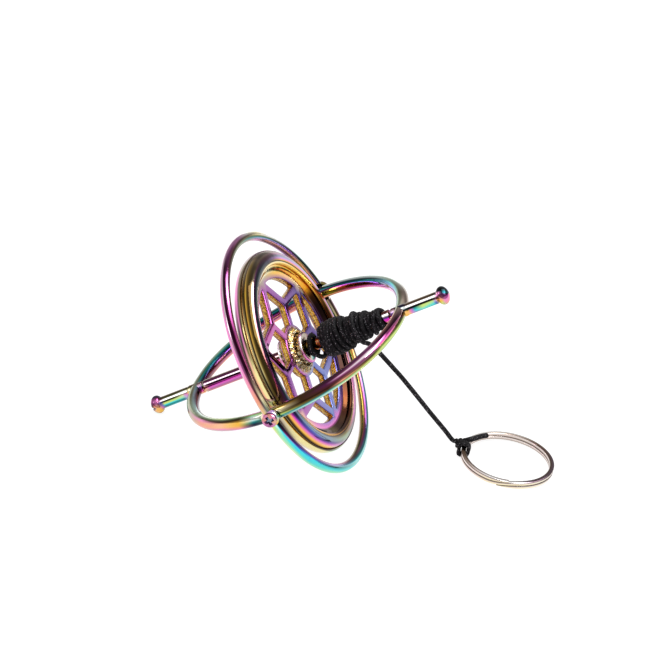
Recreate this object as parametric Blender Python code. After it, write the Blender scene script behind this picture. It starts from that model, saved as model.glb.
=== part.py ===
"""A metal toy gyroscope at rest on a table, with its cord wound on the axle and tied to a split ring.

The gyroscope is built upright, its axle on local Z and its two ring screws on local Y. An empty then leans
it over until it rests on its slotted button and its outer ring. The pull ring lies beside it. Metres, +Z up,
origin under the middle of the gyroscope, on the table.
"""

import math

import bmesh
import bpy
from mathutils import Matrix, Vector

MM = 0.001
GAP = 0.3 * MM  # between pieces that touch on the real object

# The two rings of the cage, each a bent round wire.
EQUATOR_R = 30.2 * MM  # to the wire's centre
EQUATOR_WIRE = 1.2 * MM  # wire radius
EQUATOR_TILT = math.radians(-2.9)  # the ring sits a little askew on its two screws
MERIDIAN_R = 28.8 * MM
MERIDIAN_WIRE = 1.55 * MM

# Where the rings cross they are lapped and screwed together.
LAP_Y = 30.0 * MM
LAP_HALF = 2.4 * MM
LUG_R = 2.1 * MM
LUG_TOP = 31.25 * MM
SHANK_R = 0.8 * MM
SHANK_END = 28.2 * MM
HEAD_R = 1.75 * MM
HEAD_TOP = 32.1 * MM
CROSS_SLOT = (2.0 * MM, 0.55 * MM, 0.5 * MM)  # length, width, depth

# Posts outside the meridian ring, each with a flattened ball on its end.
POST_R = 1.5 * MM
BUTTON_Z = 40.25 * MM
BUTTON_R = 2.3 * MM
BUTTON_HALF = 1.55 * MM
TENON_R = 0.75 * MM
TENON_END = 29.0 * MM
SLOT_WIDTH = 0.9 * MM
SLOT_DEPTH = 1.8 * MM

# Bearing cups inside the meridian ring, and the axle between them.
CUP_R = 1.5 * MM
CUP_FACE = 26.65 * MM
CUP_TENON_END = 28.6 * MM
CUP_CONE_R = 0.9 * MM
CUP_CONE_TIP = 27.65 * MM
AXLE_R = 1.55 * MM
AXLE_HALF = 26.1 * MM
PIVOT_R = 0.6 * MM
PIVOT_TIP = 27.2 * MM
CORD_HOLE_R = 0.8 * MM
CORD_HOLE_Z = 14.0 * MM

# Rotor: a round-backed rim, a spoked casting inside it and a sleeve on the axle.
RIM_ARC_R = 2.85 * MM
RIM_ARC_CENTRE = 22.95 * MM
RIM_BORE = 22.65 * MM
WEB_EDGE_HALF = 1.65 * MM
WEB_HALF = 0.9 * MM
WEB_FLAT_R = 19.8 * MM  # the border is flat inside this radius and dished outside it
WEB_HOLE_R = 18.6 * MM
BOSS_R = 6.6 * MM
BOSS_HALF = 1.75 * MM
HUB_R = 3.9 * MM
HUB_HALF = 3.3 * MM
SPOKES = 6
SPOKE_START = math.radians(27)  # from local X to the first spoke
FORK_R = 12.1 * MM
STEM_WIDTH = 1.75 * MM
ARM_WIDTH = 1.95 * MM

# Cord, wound between these heights on the axle.
CORD_R = 0.57 * MM
WINDING_PROFILE = [  # (height on the axle, outer radius)
    (5.4 * MM, 3.0 * MM),
    (6.4 * MM, 3.6 * MM),
    (9.4 * MM, 3.85 * MM),
    (12.4 * MM, 4.05 * MM),
    (14.4 * MM, 4.0 * MM),
    (16.8 * MM, 3.45 * MM),
    (18.6 * MM, 3.1 * MM),
    (20.4 * MM, 2.85 * MM),
    (22.6 * MM, 2.55 * MM),
    (24.2 * MM, 2.35 * MM),
]
CORD_ROUTE = [  # from the underside of the winding down to the knot, chosen by hand
    (17.3 * MM, -1.35 * MM, 31.85 * MM),
    (18.6 * MM, -0.75 * MM, 30.7 * MM),
    (20.1 * MM, -0.1 * MM, 29.05 * MM),
    (23.2 * MM, 1.3 * MM, 25.2 * MM),
    (25.9 * MM, 2.5 * MM, 21.8 * MM),
    (28.4 * MM, 3.65 * MM, 18.4 * MM),
    (30.9 * MM, 4.8 * MM, 14.95 * MM),
    (33.4 * MM, 5.9 * MM, 11.5 * MM),
    (35.7 * MM, 6.95 * MM, 8.4 * MM),
    (38.0 * MM, 8.0 * MM, 5.3 * MM),
    (39.85 * MM, 8.75 * MM, 2.75 * MM),
]
KNOT_CENTRE = (41.7 * MM, 9.25 * MM, 1.75 * MM)
KNOT_SIZE = (1.25 * MM, 1.15 * MM, 1.3 * MM)
TAIL_R = 0.6 * MM
TAIL_ROUTE = [  # over the split ring's wire and along its inside, chosen by hand
    (44.4 * MM, 8.65 * MM, 3.5 * MM),
    (45.2 * MM, 9.75 * MM, 3.2 * MM),
    (46.45 * MM, 11.4 * MM, 2.95 * MM),
    (47.4 * MM, 12.4 * MM, 2.8 * MM),
    (48.35 * MM, 13.15 * MM, 2.7 * MM),
]

# Split ring: two turns of flattened wire, propped on the cord's hitch.
RING_CENTRE = (54.3 * MM, 6.4 * MM)
RING_R = 11.05 * MM  # to the wire's centre
RING_WIRE_WIDE = 1.15 * MM
RING_WIRE_HIGH = 0.83 * MM
RING_CORNER = 0.22 * MM
RING_PITCH = 0.9 * MM
RING_TURNS = 1.93
RING_STEP = 0.05  # of a turn, in which the wire climbs from one layer to the other
STEP_ANGLE = math.radians(37)  # from the high side to the middle of that climb
LIFT = 1.4 * MM  # of the high side off the table
LIFT_ANGLE = math.radians(225)  # of the high side, from +X seen from above
HITCH_ANGLE = math.radians(179)
HITCH_CORD_R = 0.46 * MM
HITCH_GAP = 0.15 * MM
HITCH_TURNS = 2

ROUND = 64  # segments round a large turned piece
FINE = 28  # segments round a small turned piece


def clear_scene():
    for obj in list(bpy.data.objects):
        bpy.data.objects.remove(obj, do_unlink=True)


def material(name, colour, roughness, metallic):
    made = bpy.data.materials.new(name)
    made.use_nodes = True
    shader = made.node_tree.nodes["Principled BSDF"]
    shader.inputs["Base Color"].default_value = (*colour, 1.0)
    shader.inputs["Roughness"].default_value = roughness
    shader.inputs["Metallic"].default_value = metallic
    return made


def empty(name, parent=None, matrix=None):
    made = bpy.data.objects.new(name, None)
    bpy.context.scene.collection.objects.link(made)
    made.parent = parent
    if matrix is not None:
        made.matrix_local = matrix
    return made


def add(name, mesh, finish, parent, matrix=None):
    """A mesh made into a named piece under its parent empty."""
    made = bpy.data.objects.new(name, mesh)
    bpy.context.scene.collection.objects.link(made)
    made.parent = parent
    if matrix is not None:
        made.matrix_local = matrix
    if finish is not None:
        mesh.materials.append(finish)
        mesh.shade_smooth()
        mesh.set_sharp_from_angle(angle=math.radians(35))
    return made


def mesh_of(name, build):
    mesh = bpy.data.meshes.new(name)
    bm = bmesh.new()
    build(bm)
    bmesh.ops.remove_doubles(bm, verts=bm.verts, dist=1e-7)
    bmesh.ops.recalc_face_normals(bm, faces=bm.faces)
    bm.to_mesh(mesh)
    bm.free()
    return mesh


def turned(name, profile, segments, closed=False):
    """A solid turned about Z from (radius, height) points. An open profile starts and ends on the axis."""

    def build(bm):
        rows = []
        for radius, height in profile:
            count = 1 if radius < 1e-9 else segments
            turn = 2 * math.pi / segments
            row = [
                bm.verts.new((radius * math.cos(turn * i), radius * math.sin(turn * i), height))
                for i in range(count)
            ]
            rows.append(row)
        pairs = list(zip(rows, rows[1:]))
        if closed:
            pairs.append((rows[-1], rows[0]))
        for low, high in pairs:
            for i in range(segments):
                j = (i + 1) % segments
                corners = [low[i % len(low)], low[j % len(low)], high[j % len(high)], high[i % len(high)]]
                bm.faces.new(list(dict.fromkeys(corners)))

    return mesh_of(name, build)


def arc(centre, radius, start, end, count):
    """Points (r, z) along an arc, angles in degrees from the r axis."""
    points = []
    for i in range(count + 1):
        angle = math.radians(start + (end - start) * i / count)
        points.append((centre[0] + radius * math.cos(angle), centre[1] + radius * math.sin(angle)))
    return points


def wire_ring(name, radius, wire, segments, sides):
    step = 360 / sides
    return turned(name, arc((radius, 0), wire, 0, 360 - step, sides - 1), segments, closed=True)


def block(name, low, high):
    def build(bm):
        size = Vector(high) - Vector(low)
        middle = (Vector(high) + Vector(low)) / 2
        bmesh.ops.create_cube(bm, size=1, matrix=Matrix.Translation(middle) @ Matrix.Diagonal((*size, 1)))

    return mesh_of(name, build)


def prisms(name, outlines, low, high):
    """Straight-sided solids, one over each plane outline."""

    def build(bm):
        for outline in outlines:
            floor = bm.faces.new([bm.verts.new((*p, low)) for p in outline])
            grown = bmesh.ops.extrude_face_region(bm, geom=[floor])
            top = [v for v in grown["geom"] if isinstance(v, bmesh.types.BMVert)]
            bmesh.ops.translate(bm, verts=top, vec=(0, 0, high - low))

    return mesh_of(name, build)


def rod(name, radius, low, high, segments=FINE):
    return turned(name, [(0, low), (radius, low), (radius, high), (0, high)], segments)


def boolean(target, mesh, parent, operation="DIFFERENCE", matrix=None):
    """Cuts a helper from the piece, or joins one to it."""
    helper = add(mesh.name + "_helper", mesh, None, parent, matrix)
    helper.hide_render = True
    helper.display_type = "WIRE"
    step = target.modifiers.new(mesh.name, "BOOLEAN")
    step.operation = operation
    step.object = helper
    step.solver = "EXACT"


# Frames

def lean_angle():
    """How far the axle rises from the table when the button and the equator ring both touch it."""
    low, high = 0.3, 1.0
    while high - low > 1e-9:
        rise = (low + high) / 2
        button = BUTTON_Z * math.sin(rise) + math.hypot(BUTTON_R * math.cos(rise), BUTTON_HALF * math.sin(rise))
        ring = EQUATOR_R * math.cos(rise - EQUATOR_TILT) + EQUATOR_WIRE
        if button < ring:
            low = rise
        else:
            high = rise
    return low


RISE = lean_angle()
CENTRE_HEIGHT = EQUATOR_R * math.cos(RISE - EQUATOR_TILT) + EQUATOR_WIRE
UPRIGHT_TO_WORLD = Matrix.Translation((0, 0, CENTRE_HEIGHT)) @ Matrix.Rotation(math.pi / 2 - RISE, 4, "Y")
AXLE_TO_Y = Matrix.Rotation(-math.pi / 2, 4, "X")  # turns local Z onto local Y
AXLE_TO_X = Matrix.Rotation(math.pi / 2, 4, "Y")
FLIP = Matrix.Rotation(math.pi, 4, "Y")  # the lower end of the axle
BACK_TO_FRONT = Matrix.Rotation(math.pi, 4, "Z")  # the screw at -Y
TILT = Matrix.Rotation(EQUATOR_TILT, 4, "Y")
HALF_STEP = Matrix.Rotation(math.pi / ROUND, 4, "Z")  # puts a flat of a ring, not a corner, at its screws

RING_TILT = math.asin(LIFT / (2 * RING_R + RING_WIRE_WIDE))
RING_HALF = (RING_PITCH + RING_WIRE_HIGH) / 2
RING_LIFT = RING_HALF * math.cos(RING_TILT) + (RING_R + RING_WIRE_WIDE / 2) * math.sin(RING_TILT)
RING_TO_WORLD = (
    Matrix.Translation((*RING_CENTRE, RING_LIFT))
    @ Matrix.Rotation(LIFT_ANGLE, 4, "Z")
    @ Matrix.Rotation(-RING_TILT, 4, "Y")
)  # local +X points at the high side


# Cage

def meridian_ring(parent, finish):
    ring = add(
        "meridian_ring",
        wire_ring("meridian_ring", MERIDIAN_R, MERIDIAN_WIRE, ROUND, 12),
        finish,
        parent,
        AXLE_TO_X @ HALF_STEP,
    )
    for side in (1, -1):
        seat = sorted((side * (LAP_Y - GAP / 2), side * (LAP_Y + 3 * MM)))
        low = (-LAP_HALF, seat[0], -LAP_HALF)
        high = (LAP_HALF, seat[1], LAP_HALF)
        boolean(ring, block("meridian_lap", low, high), parent)
        turn = Matrix.Identity(4) if side == 1 else BACK_TO_FRONT
        hole = rod("meridian_screw_hole", SHANK_R + GAP, SHANK_END - GAP, LAP_Y + 2 * MM)
        boolean(ring, hole, parent, matrix=turn @ AXLE_TO_Y)
        flip = Matrix.Identity(4) if side == 1 else FLIP
        bearing = rod("meridian_bearing_hole", TENON_R + GAP, MERIDIAN_R - 3 * MM, MERIDIAN_R + 3 * MM)
        boolean(ring, bearing, parent, matrix=flip)
    return ring


def equator_ring(parent, finish):
    ring = add(
        "equator_ring",
        wire_ring("equator_ring", EQUATOR_R, EQUATOR_WIRE, ROUND, 10),
        finish,
        parent,
        TILT @ HALF_STEP,
    )
    for side in (1, -1):
        turn = TILT @ (Matrix.Identity(4) if side == 1 else BACK_TO_FRONT) @ AXLE_TO_Y
        lug = rod("equator_lug", LUG_R, LAP_Y - 0.5 * MM, LUG_TOP + 0.5 * MM)
        boolean(ring, lug, parent, "UNION", turn)
        under = rod("equator_lap", LAP_HALF, LAP_Y - 3 * MM, LAP_Y + GAP / 2)
        boolean(ring, under, parent, matrix=turn)
        spot_face = rod("equator_spot_face", LUG_R + 0.5 * MM, LUG_TOP, LUG_TOP + 3 * MM)
        boolean(ring, spot_face, parent, matrix=turn)
        hole = rod("equator_screw_hole", SHANK_R + GAP, LAP_Y - 1 * MM, LUG_TOP + 1 * MM)
        boolean(ring, hole, parent, matrix=turn)
    return ring


def ring_screw(name, turn, parent, finish):
    """A pan-head screw with a cross recess, drawn along local Z and turned to point inwards."""
    seat = LUG_TOP + GAP
    edge = 0.25 * MM
    profile = [
        (0, SHANK_END),
        (SHANK_R, SHANK_END),
        (SHANK_R, seat),
        (HEAD_R, seat),
        (HEAD_R, HEAD_TOP - edge),
        (HEAD_R - edge, HEAD_TOP),
        (0, HEAD_TOP),
    ]
    matrix = turn @ AXLE_TO_Y
    screw = add(name, turned(name, profile, FINE), finish, parent, matrix)
    length, width, depth = CROSS_SLOT
    arm = [(width / 2, width / 2), (width / 2, length / 2), (-width / 2, length / 2)]
    outline = []
    for quarter in range(4):
        turned_arm = Matrix.Rotation(quarter * math.pi / 2, 2)
        outline += [turned_arm @ Vector(p) for p in arm]
    recess = prisms(name + "_recess", [outline], HEAD_TOP - depth, HEAD_TOP + depth)
    boolean(screw, recess, parent, matrix=matrix)
    return screw


def saddle(parent, piece, turn):
    """Hollows the end of a post or cup to sit round the meridian ring's wire."""
    fat = wire_ring("saddle", MERIDIAN_R, MERIDIAN_WIRE + GAP, ROUND, 16)
    boolean(piece, fat, parent, matrix=turn @ AXLE_TO_X @ HALF_STEP)


def post(name, flip, parent, finish, slotted):
    steps = 9
    shoulder = BUTTON_HALF * math.sqrt(1 - (POST_R / BUTTON_R) ** 2)
    start = math.degrees(math.atan2(-shoulder / BUTTON_HALF, POST_R / BUTTON_R))
    profile = [(0, MERIDIAN_R + 0.3 * MM), (POST_R, MERIDIAN_R + 0.3 * MM)]
    for i in range(steps + 1):
        angle = math.radians(start + (90 - start) * i / steps)
        profile.append((BUTTON_R * math.cos(angle), BUTTON_Z + BUTTON_HALF * math.sin(angle)))
    profile[-1] = (0, BUTTON_Z + BUTTON_HALF)
    piece = add(name, turned(name, profile, FINE), finish, parent, flip)
    saddle(parent, piece, flip)
    tenon = rod(name + "_tenon", TENON_R, TENON_END, MERIDIAN_R + 4 * MM)
    boolean(piece, tenon, parent, "UNION", flip)
    if slotted:
        floor = BUTTON_Z + BUTTON_HALF - SLOT_DEPTH
        low = (-SLOT_WIDTH / 2, -2 * BUTTON_R, floor)
        high = (SLOT_WIDTH / 2, 2 * BUTTON_R, floor + 2 * SLOT_DEPTH)
        boolean(piece, block(name + "_slot", low, high), parent, matrix=flip)
    return piece


def pivot_cup(name, flip, parent, finish):
    """A bearing cup: a disc against the ring, a tenon in the ring's hole and a cone for the axle's point."""
    edge = 0.15 * MM
    profile = [
        (0, CUP_FACE),
        (CUP_R - edge, CUP_FACE),
        (CUP_R, CUP_FACE + edge),
        (CUP_R, MERIDIAN_R - 0.4 * MM),
        (0, MERIDIAN_R - 0.4 * MM),
    ]
    cup = add(name, turned(name, profile, FINE), finish, parent, flip)
    saddle(parent, cup, flip)
    boolean(cup, rod(name + "_tenon", TENON_R, CUP_FACE + 0.1 * MM, CUP_TENON_END), parent, "UNION", flip)
    flare = (CUP_CONE_TIP - CUP_FACE) / CUP_CONE_R
    mouth = [
        (0, CUP_FACE - 1 * MM),
        (CUP_CONE_R + 1 * MM / flare, CUP_FACE - 1 * MM),
        (0, CUP_CONE_TIP),
    ]
    boolean(cup, turned(name + "_cone", mouth, FINE), parent, matrix=flip)
    return cup


# Rotor

def rotor_rim(parent, finish):
    crest = 0.35 * MM
    top = RIM_ARC_R - crest * 0.5
    outer = arc((RIM_ARC_CENTRE, 0), RIM_ARC_R, -84, 84, 14)
    profile = [(RIM_BORE, -top + crest), *outer, (RIM_BORE, top - crest)]
    return add("rotor_rim", turned("rotor_rim", profile, ROUND, closed=True), finish, parent)


def crossing(p, direction, q, other):
    """Where two lines meet in the plane, each given by a point and a direction."""
    across = direction[0] * other[1] - direction[1] * other[0]
    along = ((q[0] - p[0]) * other[1] - (q[1] - p[1]) * other[0]) / across
    return Vector((p[0] + along * direction[0], p[1] + along * direction[1]))


def polar(radius, angle):
    return Vector((radius * math.cos(angle), radius * math.sin(angle)))


def offset_line(start, end, distance):
    """The line from start to end, moved to its left, as a point and a direction."""
    along = (end - start).normalized()
    left = Vector((-along.y, along.x))
    return start + left * distance, along


def arc_between(radius, start, end, count):
    return [polar(radius, start + (end - start) * i / count) for i in range(count + 1)]


def angle_of(point):
    return math.atan2(point.y, point.x)


def on_circle(line, radius):
    """Where a line leaves the circle, going along its direction."""
    point, along = line
    half = point.dot(along)
    return point + along * (-half + math.sqrt(half * half - point.dot(point) + radius * radius))


def web_openings():
    """One six-sided and one three-sided opening for each spoke, as plane outlines with spoke 0 on the X axis."""
    half_pitch = math.pi / SPOKES
    fork = polar(FORK_R, 0)
    next_fork = polar(FORK_R, 2 * half_pitch)
    tip = polar(WEB_HOLE_R + 0.6 * MM, half_pitch)
    low_tip = polar(WEB_HOLE_R + 0.6 * MM, -half_pitch)
    stem = offset_line(Vector((0, 0)), fork, STEM_WIDTH / 2)
    next_stem = offset_line(Vector((0, 0)), next_fork, -STEM_WIDTH / 2)
    arm = offset_line(fork, tip, ARM_WIDTH / 2)
    next_arm = offset_line(next_fork, tip, -ARM_WIDTH / 2)
    first = on_circle(stem, BOSS_R)
    last = on_circle(next_stem, BOSS_R)
    cell = [
        crossing(*stem, *arm),
        crossing(*arm, *next_arm),
        crossing(*next_arm, *next_stem),
        *arc_between(BOSS_R, angle_of(last), angle_of(first), 4),
    ]
    upper = offset_line(fork, tip, -ARM_WIDTH / 2)
    lower = offset_line(fork, low_tip, ARM_WIDTH / 2)
    high_end = on_circle(upper, WEB_HOLE_R)
    low_end = on_circle(lower, WEB_HOLE_R)
    wedge = [
        crossing(*upper, *lower),
        *arc_between(WEB_HOLE_R, angle_of(low_end), angle_of(high_end), 6),
    ]
    return cell, wedge


def rotor_web(parent, finish):
    bore = HUB_R + GAP
    edge = RIM_BORE - GAP
    profile = [
        (bore, -BOSS_HALF),
        (bore + 0.5 * MM, -BOSS_HALF),
        (BOSS_R, -WEB_HALF),
        (WEB_FLAT_R, -WEB_HALF),
        (edge, -WEB_EDGE_HALF),
        (edge, WEB_EDGE_HALF),
        (WEB_FLAT_R, WEB_HALF),
        (BOSS_R, WEB_HALF),
        (bore + 0.5 * MM, BOSS_HALF),
        (bore, BOSS_HALF),
    ]
    web = add("rotor_web", turned("rotor_web", profile, ROUND, closed=True), finish, parent)
    outlines = []
    for spoke in range(SPOKES):
        turn = Matrix.Rotation(SPOKE_START + spoke * 2 * math.pi / SPOKES, 2)
        for outline in web_openings():
            outlines.append([turn @ p for p in outline])
    boolean(web, prisms("web_openings", outlines, -3 * WEB_HALF, 3 * WEB_HALF), parent)
    return web


def rotor_hub(parent, finish):
    bore = AXLE_R + GAP
    edge = 0.3 * MM
    profile = [
        (bore, -HUB_HALF),
        (HUB_R - edge, -HUB_HALF),
        (HUB_R, -HUB_HALF + edge),
        (HUB_R, HUB_HALF - edge),
        (HUB_R - edge, HUB_HALF),
        (bore, HUB_HALF),
    ]
    return add("rotor_hub", turned("rotor_hub", profile, FINE, closed=True), finish, parent)


def axle(parent, finish):
    edge = 0.2 * MM
    end = [
        (AXLE_R, AXLE_HALF - edge),
        (AXLE_R - edge, AXLE_HALF),
        (PIVOT_R, AXLE_HALF),
        (PIVOT_R * 0.8, AXLE_HALF + edge),
        (0, PIVOT_TIP),
    ]
    profile = [(r, -z) for r, z in reversed(end)] + end
    shaft = add("axle", turned("axle", profile, FINE), finish, parent)
    hole = rod("axle_cord_hole", CORD_HOLE_R, -3 * MM, 3 * MM, 16)
    boolean(shaft, hole, parent, matrix=Matrix.Translation((0, 0, CORD_HOLE_Z)) @ AXLE_TO_Y)
    return shaft


# Cord and pull ring

def cord_winding(parent, finish):
    bore = AXLE_R + GAP
    low = WINDING_PROFILE[0][0]
    high = WINDING_PROFILE[-1][0]
    profile = [(bore, low), *((r, z) for z, r in WINDING_PROFILE), (bore, high)]
    return add("cord_winding", turned("cord_winding", profile, 24, closed=True), finish, parent)


def smooth_points(route, spacing):
    """Points a fixed distance apart on the smooth curve through the route."""
    fine = []
    ends = [2 * route[0] - route[1], *route, 2 * route[-1] - route[-2]]
    for a, b, c, d in zip(ends, ends[1:], ends[2:], ends[3:]):
        for step in range(16):
            t = step / 16
            fine.append(
                0.5 * (2 * b + (c - a) * t + (2 * a - 5 * b + 4 * c - d) * t**2 + (3 * b - a - 3 * c + d) * t**3)
            )
    fine.append(route[-1])
    lengths = [0.0]
    for p, q in zip(fine, fine[1:]):
        lengths.append(lengths[-1] + (q - p).length)
    count = max(2, round(lengths[-1] / spacing))
    points = []
    at = 0
    for i in range(count + 1):
        want = lengths[-1] * i / count
        while at < len(fine) - 2 and lengths[at + 1] < want:
            at += 1
        share = (want - lengths[at]) / (lengths[at + 1] - lengths[at])
        points.append(fine[at].lerp(fine[at + 1], share))
    return points


def tube(name, points, radius, finish, parent=None):
    curve = bpy.data.curves.new(name, "CURVE")
    curve.dimensions = "3D"
    curve.bevel_depth = radius
    curve.bevel_resolution = 2
    curve.use_fill_caps = True
    spline = curve.splines.new("POLY")
    spline.points.add(len(points) - 1)
    for slot, point in zip(spline.points, points):
        slot.co = (*point, 1)
    made = bpy.data.objects.new(name, curve)
    bpy.context.scene.collection.objects.link(made)
    made.parent = parent
    curve.materials.append(finish)
    return made


def cord_knot(parent, finish):
    """A lump just outside the split ring, where the cord is knotted on itself."""

    def build(bm):
        place = Matrix.Translation(KNOT_CENTRE) @ Matrix.Diagonal((*KNOT_SIZE, 1))
        bmesh.ops.create_icosphere(bm, subdivisions=3, radius=1, matrix=place)

    return add("cord_knot", mesh_of("cord_knot", build), finish, parent)


def cord_hitch(parent, finish):
    """Two turns of cord round both layers of the split ring."""
    bend = RING_CORNER + HITCH_GAP + HITCH_CORD_R
    wide = RING_WIRE_WIDE / 2 - RING_CORNER
    high = RING_HALF - RING_CORNER
    steps = 16
    points = []
    turn = Matrix.Rotation(HITCH_ANGLE - LIFT_ANGLE, 4, "Z")
    for i in range(HITCH_TURNS * steps + 1):
        angle = 2 * math.pi * i / steps
        c, s = math.cos(angle), math.sin(angle)
        out = bend * c + wide * max(-1, min(1, 2 * c))
        up = bend * s + high * max(-1, min(1, 2 * s))
        along = (i / steps - HITCH_TURNS / 2) * (2 * HITCH_CORD_R + 0.08 * MM)
        points.append(turn @ Vector((RING_R + out, along, up)))
    return tube("cord_hitch", points, HITCH_CORD_R, finish, parent)


def split_ring(parent, finish):
    """Two turns of flattened wire, one lying on the other, with one short climb between the layers."""
    wide = RING_WIRE_WIDE / 2 - RING_CORNER
    high = RING_WIRE_HIGH / 2 - RING_CORNER
    section = []
    for x, z, start in ((1, 1, 0), (-1, 1, 90), (-1, -1, 180), (1, -1, 270)):
        for px, pz in arc((x * wide, z * high), RING_CORNER, start, start + 90, 1):
            section.append((px, pz))

    def build(bm):
        rows = []
        count = round(72 * RING_TURNS)
        for i in range(count + 1):
            turn = RING_TURNS * (i / count - 0.5)
            climb = max(0, min(1, turn / RING_STEP + 0.5))
            lift = RING_PITCH * (climb * climb * (3 - 2 * climb) - 0.5)
            angle = 2 * math.pi * turn + STEP_ANGLE
            out = Vector((math.cos(angle), math.sin(angle), 0))
            centre = out * RING_R + Vector((0, 0, lift))
            rows.append([bm.verts.new(centre + out * x + Vector((0, 0, z))) for x, z in section])
        for row, following in zip(rows, rows[1:]):
            for j in range(len(section)):
                k = (j + 1) % len(section)
                bm.faces.new((row[j], row[k], following[k], following[j]))
        bm.faces.new(rows[0])
        bm.faces.new(rows[-1])

    return add("split_ring", mesh_of("split_ring", build), finish, parent)


def main():
    clear_scene()
    plating = material("rainbow_plating", (0.55, 0.35, 0.62), 0.12, 1.0)
    dark_plating = material("rainbow_plating_rotor", (0.55, 0.42, 0.2), 0.14, 1.0)
    cast = material("rainbow_plating_cast", (0.6, 0.42, 0.62), 0.3, 1.0)
    steel = material("screw_steel", (0.35, 0.3, 0.45), 0.25, 1.0)
    brass = material("bearing_brass", (0.6, 0.45, 0.2), 0.3, 1.0)
    nickel = material("nickel", (0.75, 0.7, 0.66), 0.15, 1.0)
    cord = material("black_cord", (0.02, 0.02, 0.022), 0.7, 0.0)

    lean = empty("lean", matrix=UPRIGHT_TO_WORLD)
    rotor_axis = empty("rotor_axis", parent=lean)
    pull_frame = empty("pull_frame", matrix=RING_TO_WORLD)

    meridian_ring(lean, plating)
    equator_ring(lean, plating)
    ring_screw("ring_screw_back", TILT, lean, steel)
    ring_screw("ring_screw_front", TILT @ BACK_TO_FRONT, lean, steel)
    post("post_plain", Matrix.Identity(4), lean, plating, slotted=False)
    post("post_slotted", FLIP, lean, plating, slotted=True)
    pivot_cup("pivot_cup_upper", Matrix.Identity(4), lean, brass)
    pivot_cup("pivot_cup_lower", FLIP, lean, brass)

    rotor_rim(rotor_axis, dark_plating)
    rotor_web(rotor_axis, cast)
    rotor_hub(rotor_axis, brass)
    axle(rotor_axis, plating)
    cord_winding(rotor_axis, cord)

    route = [Vector(p) for p in CORD_ROUTE]
    tube("pull_cord", smooth_points(route, 2.4 * MM), CORD_R, cord)
    cord_knot(None, cord)
    cord_hitch(pull_frame, cord)
    tube("cord_tail", smooth_points([Vector(p) for p in TAIL_ROUTE], 1.5 * MM), TAIL_R, cord)
    split_ring(pull_frame, nickel)


main()
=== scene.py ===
"""A metal toy gyroscope in rainbow plating, its cord wound on the axle and tied to a split ring.

Every metal piece is drawn in millimetres in the gyroscope's upright frame, axle on Z and screws on Y, and leaned
over into place. Plating colours, with painted highlights and painted reflections in them, are painted on the
vertices from given bands, and the shader adds grain and wear, with painted glints and painted shade on the gritty
finishes.
"""

import math
import random

import bmesh
import bpy
import numpy as np
from mathutils import Matrix, Vector, noise


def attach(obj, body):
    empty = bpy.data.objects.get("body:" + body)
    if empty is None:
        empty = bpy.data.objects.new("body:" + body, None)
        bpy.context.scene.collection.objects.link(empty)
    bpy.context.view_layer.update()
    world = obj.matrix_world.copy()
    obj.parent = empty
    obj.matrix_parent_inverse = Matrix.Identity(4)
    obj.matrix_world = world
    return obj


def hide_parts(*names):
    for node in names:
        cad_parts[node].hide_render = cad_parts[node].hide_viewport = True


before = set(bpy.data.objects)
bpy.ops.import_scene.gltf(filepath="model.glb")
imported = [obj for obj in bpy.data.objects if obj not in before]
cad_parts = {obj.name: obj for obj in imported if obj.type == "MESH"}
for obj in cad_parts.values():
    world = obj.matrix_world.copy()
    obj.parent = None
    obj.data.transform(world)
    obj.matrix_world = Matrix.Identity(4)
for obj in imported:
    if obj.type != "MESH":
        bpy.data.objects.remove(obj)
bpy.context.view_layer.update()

MM = 0.001
random.seed(7)
noise.seed_set(7)

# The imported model's own sizes, in millimetres. R is a radius, and HALF is half of a thickness.
RISE = math.radians(34.843)
CENTRE_HEIGHT = 25.0811 * MM
LEAN = Matrix.Translation((0, 0, CENTRE_HEIGHT)) @ Matrix.Rotation(math.pi / 2 - RISE, 4, "Y")
EQUATOR_R, EQUATOR_WIRE, EQUATOR_TILT = 30.2, 1.2, math.radians(-2.9)
MERIDIAN_R, MERIDIAN_WIRE = 28.8, 1.55
LAP_Y, LAP_HALF, LAP_GAP, LUG_R, LUG_TOP = 30.0, 2.4, 0.15, 2.1, 31.25
HEAD_R, HEAD_TOP, HEAD_EDGE, SHANK_R, SHANK_END = 1.75, 32.1, 0.12, 0.8, 29.0
POST_R, BUTTON_Z, BUTTON_R, BUTTON_HALF = 1.5, 40.25, 2.3, 1.55
SLOT_HALF, SLOT_DEPTH = 0.45, 1.8
CUP_FACE, CUP_R, CUP_EDGE, CUP_END = 26.65, 1.5, 0.22, 27.9
AXLE_R, AXLE_HALF, AXLE_EDGE, PIVOT_TIP = 1.55, 26.1, 0.18, 27.2
RIM_R, RIM_ARC, RIM_BORE = 22.95, 2.85, 22.65
WEB_EDGE_R, WEB_HALF, WEB_HOLE_R, WEB_BEVEL = 22.35, 0.9, 18.6, 0.17
BOSS_R, HUB_R, HUB_HALF, HUB_EDGE = 6.6, 3.9, 3.3, 0.3
SPOKES, SPOKE_START = 6, math.radians(27)
FORK_R, STEM_WIDTH, ARM_WIDTH = 12.1, 1.75, 1.95
CORD_R = 0.57
CORD_ROUTE = [
    (17.3, -1.35, 31.85), (18.6, -0.75, 30.7), (20.1, -0.1, 29.05), (23.2, 1.3, 25.2), (25.9, 2.5, 21.8),
    (28.4, 3.65, 18.4), (30.9, 4.8, 14.95), (33.4, 5.9, 11.5), (35.7, 6.95, 8.4), (38.0, 8.0, 5.3),
    (39.85, 8.75, 2.75), (40.9, 9.05, 2.1),
]
KNOT_CENTRE, KNOT_SIZE, KNOT_CORD_R = (41.7, 9.25, 1.75), (1.25, 1.15, 1.3), 0.47
TAIL_R = 0.65
TAIL_ROUTE = [
    (42.5, 8.75, 2.9), (43.4, 8.6, 3.35), (44.4, 8.95, 3.7), (45.2, 10.05, 3.4), (46.45, 11.7, 3.15),
    (47.4, 12.7, 3.0), (48.35, 13.45, 2.9),
]
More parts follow.
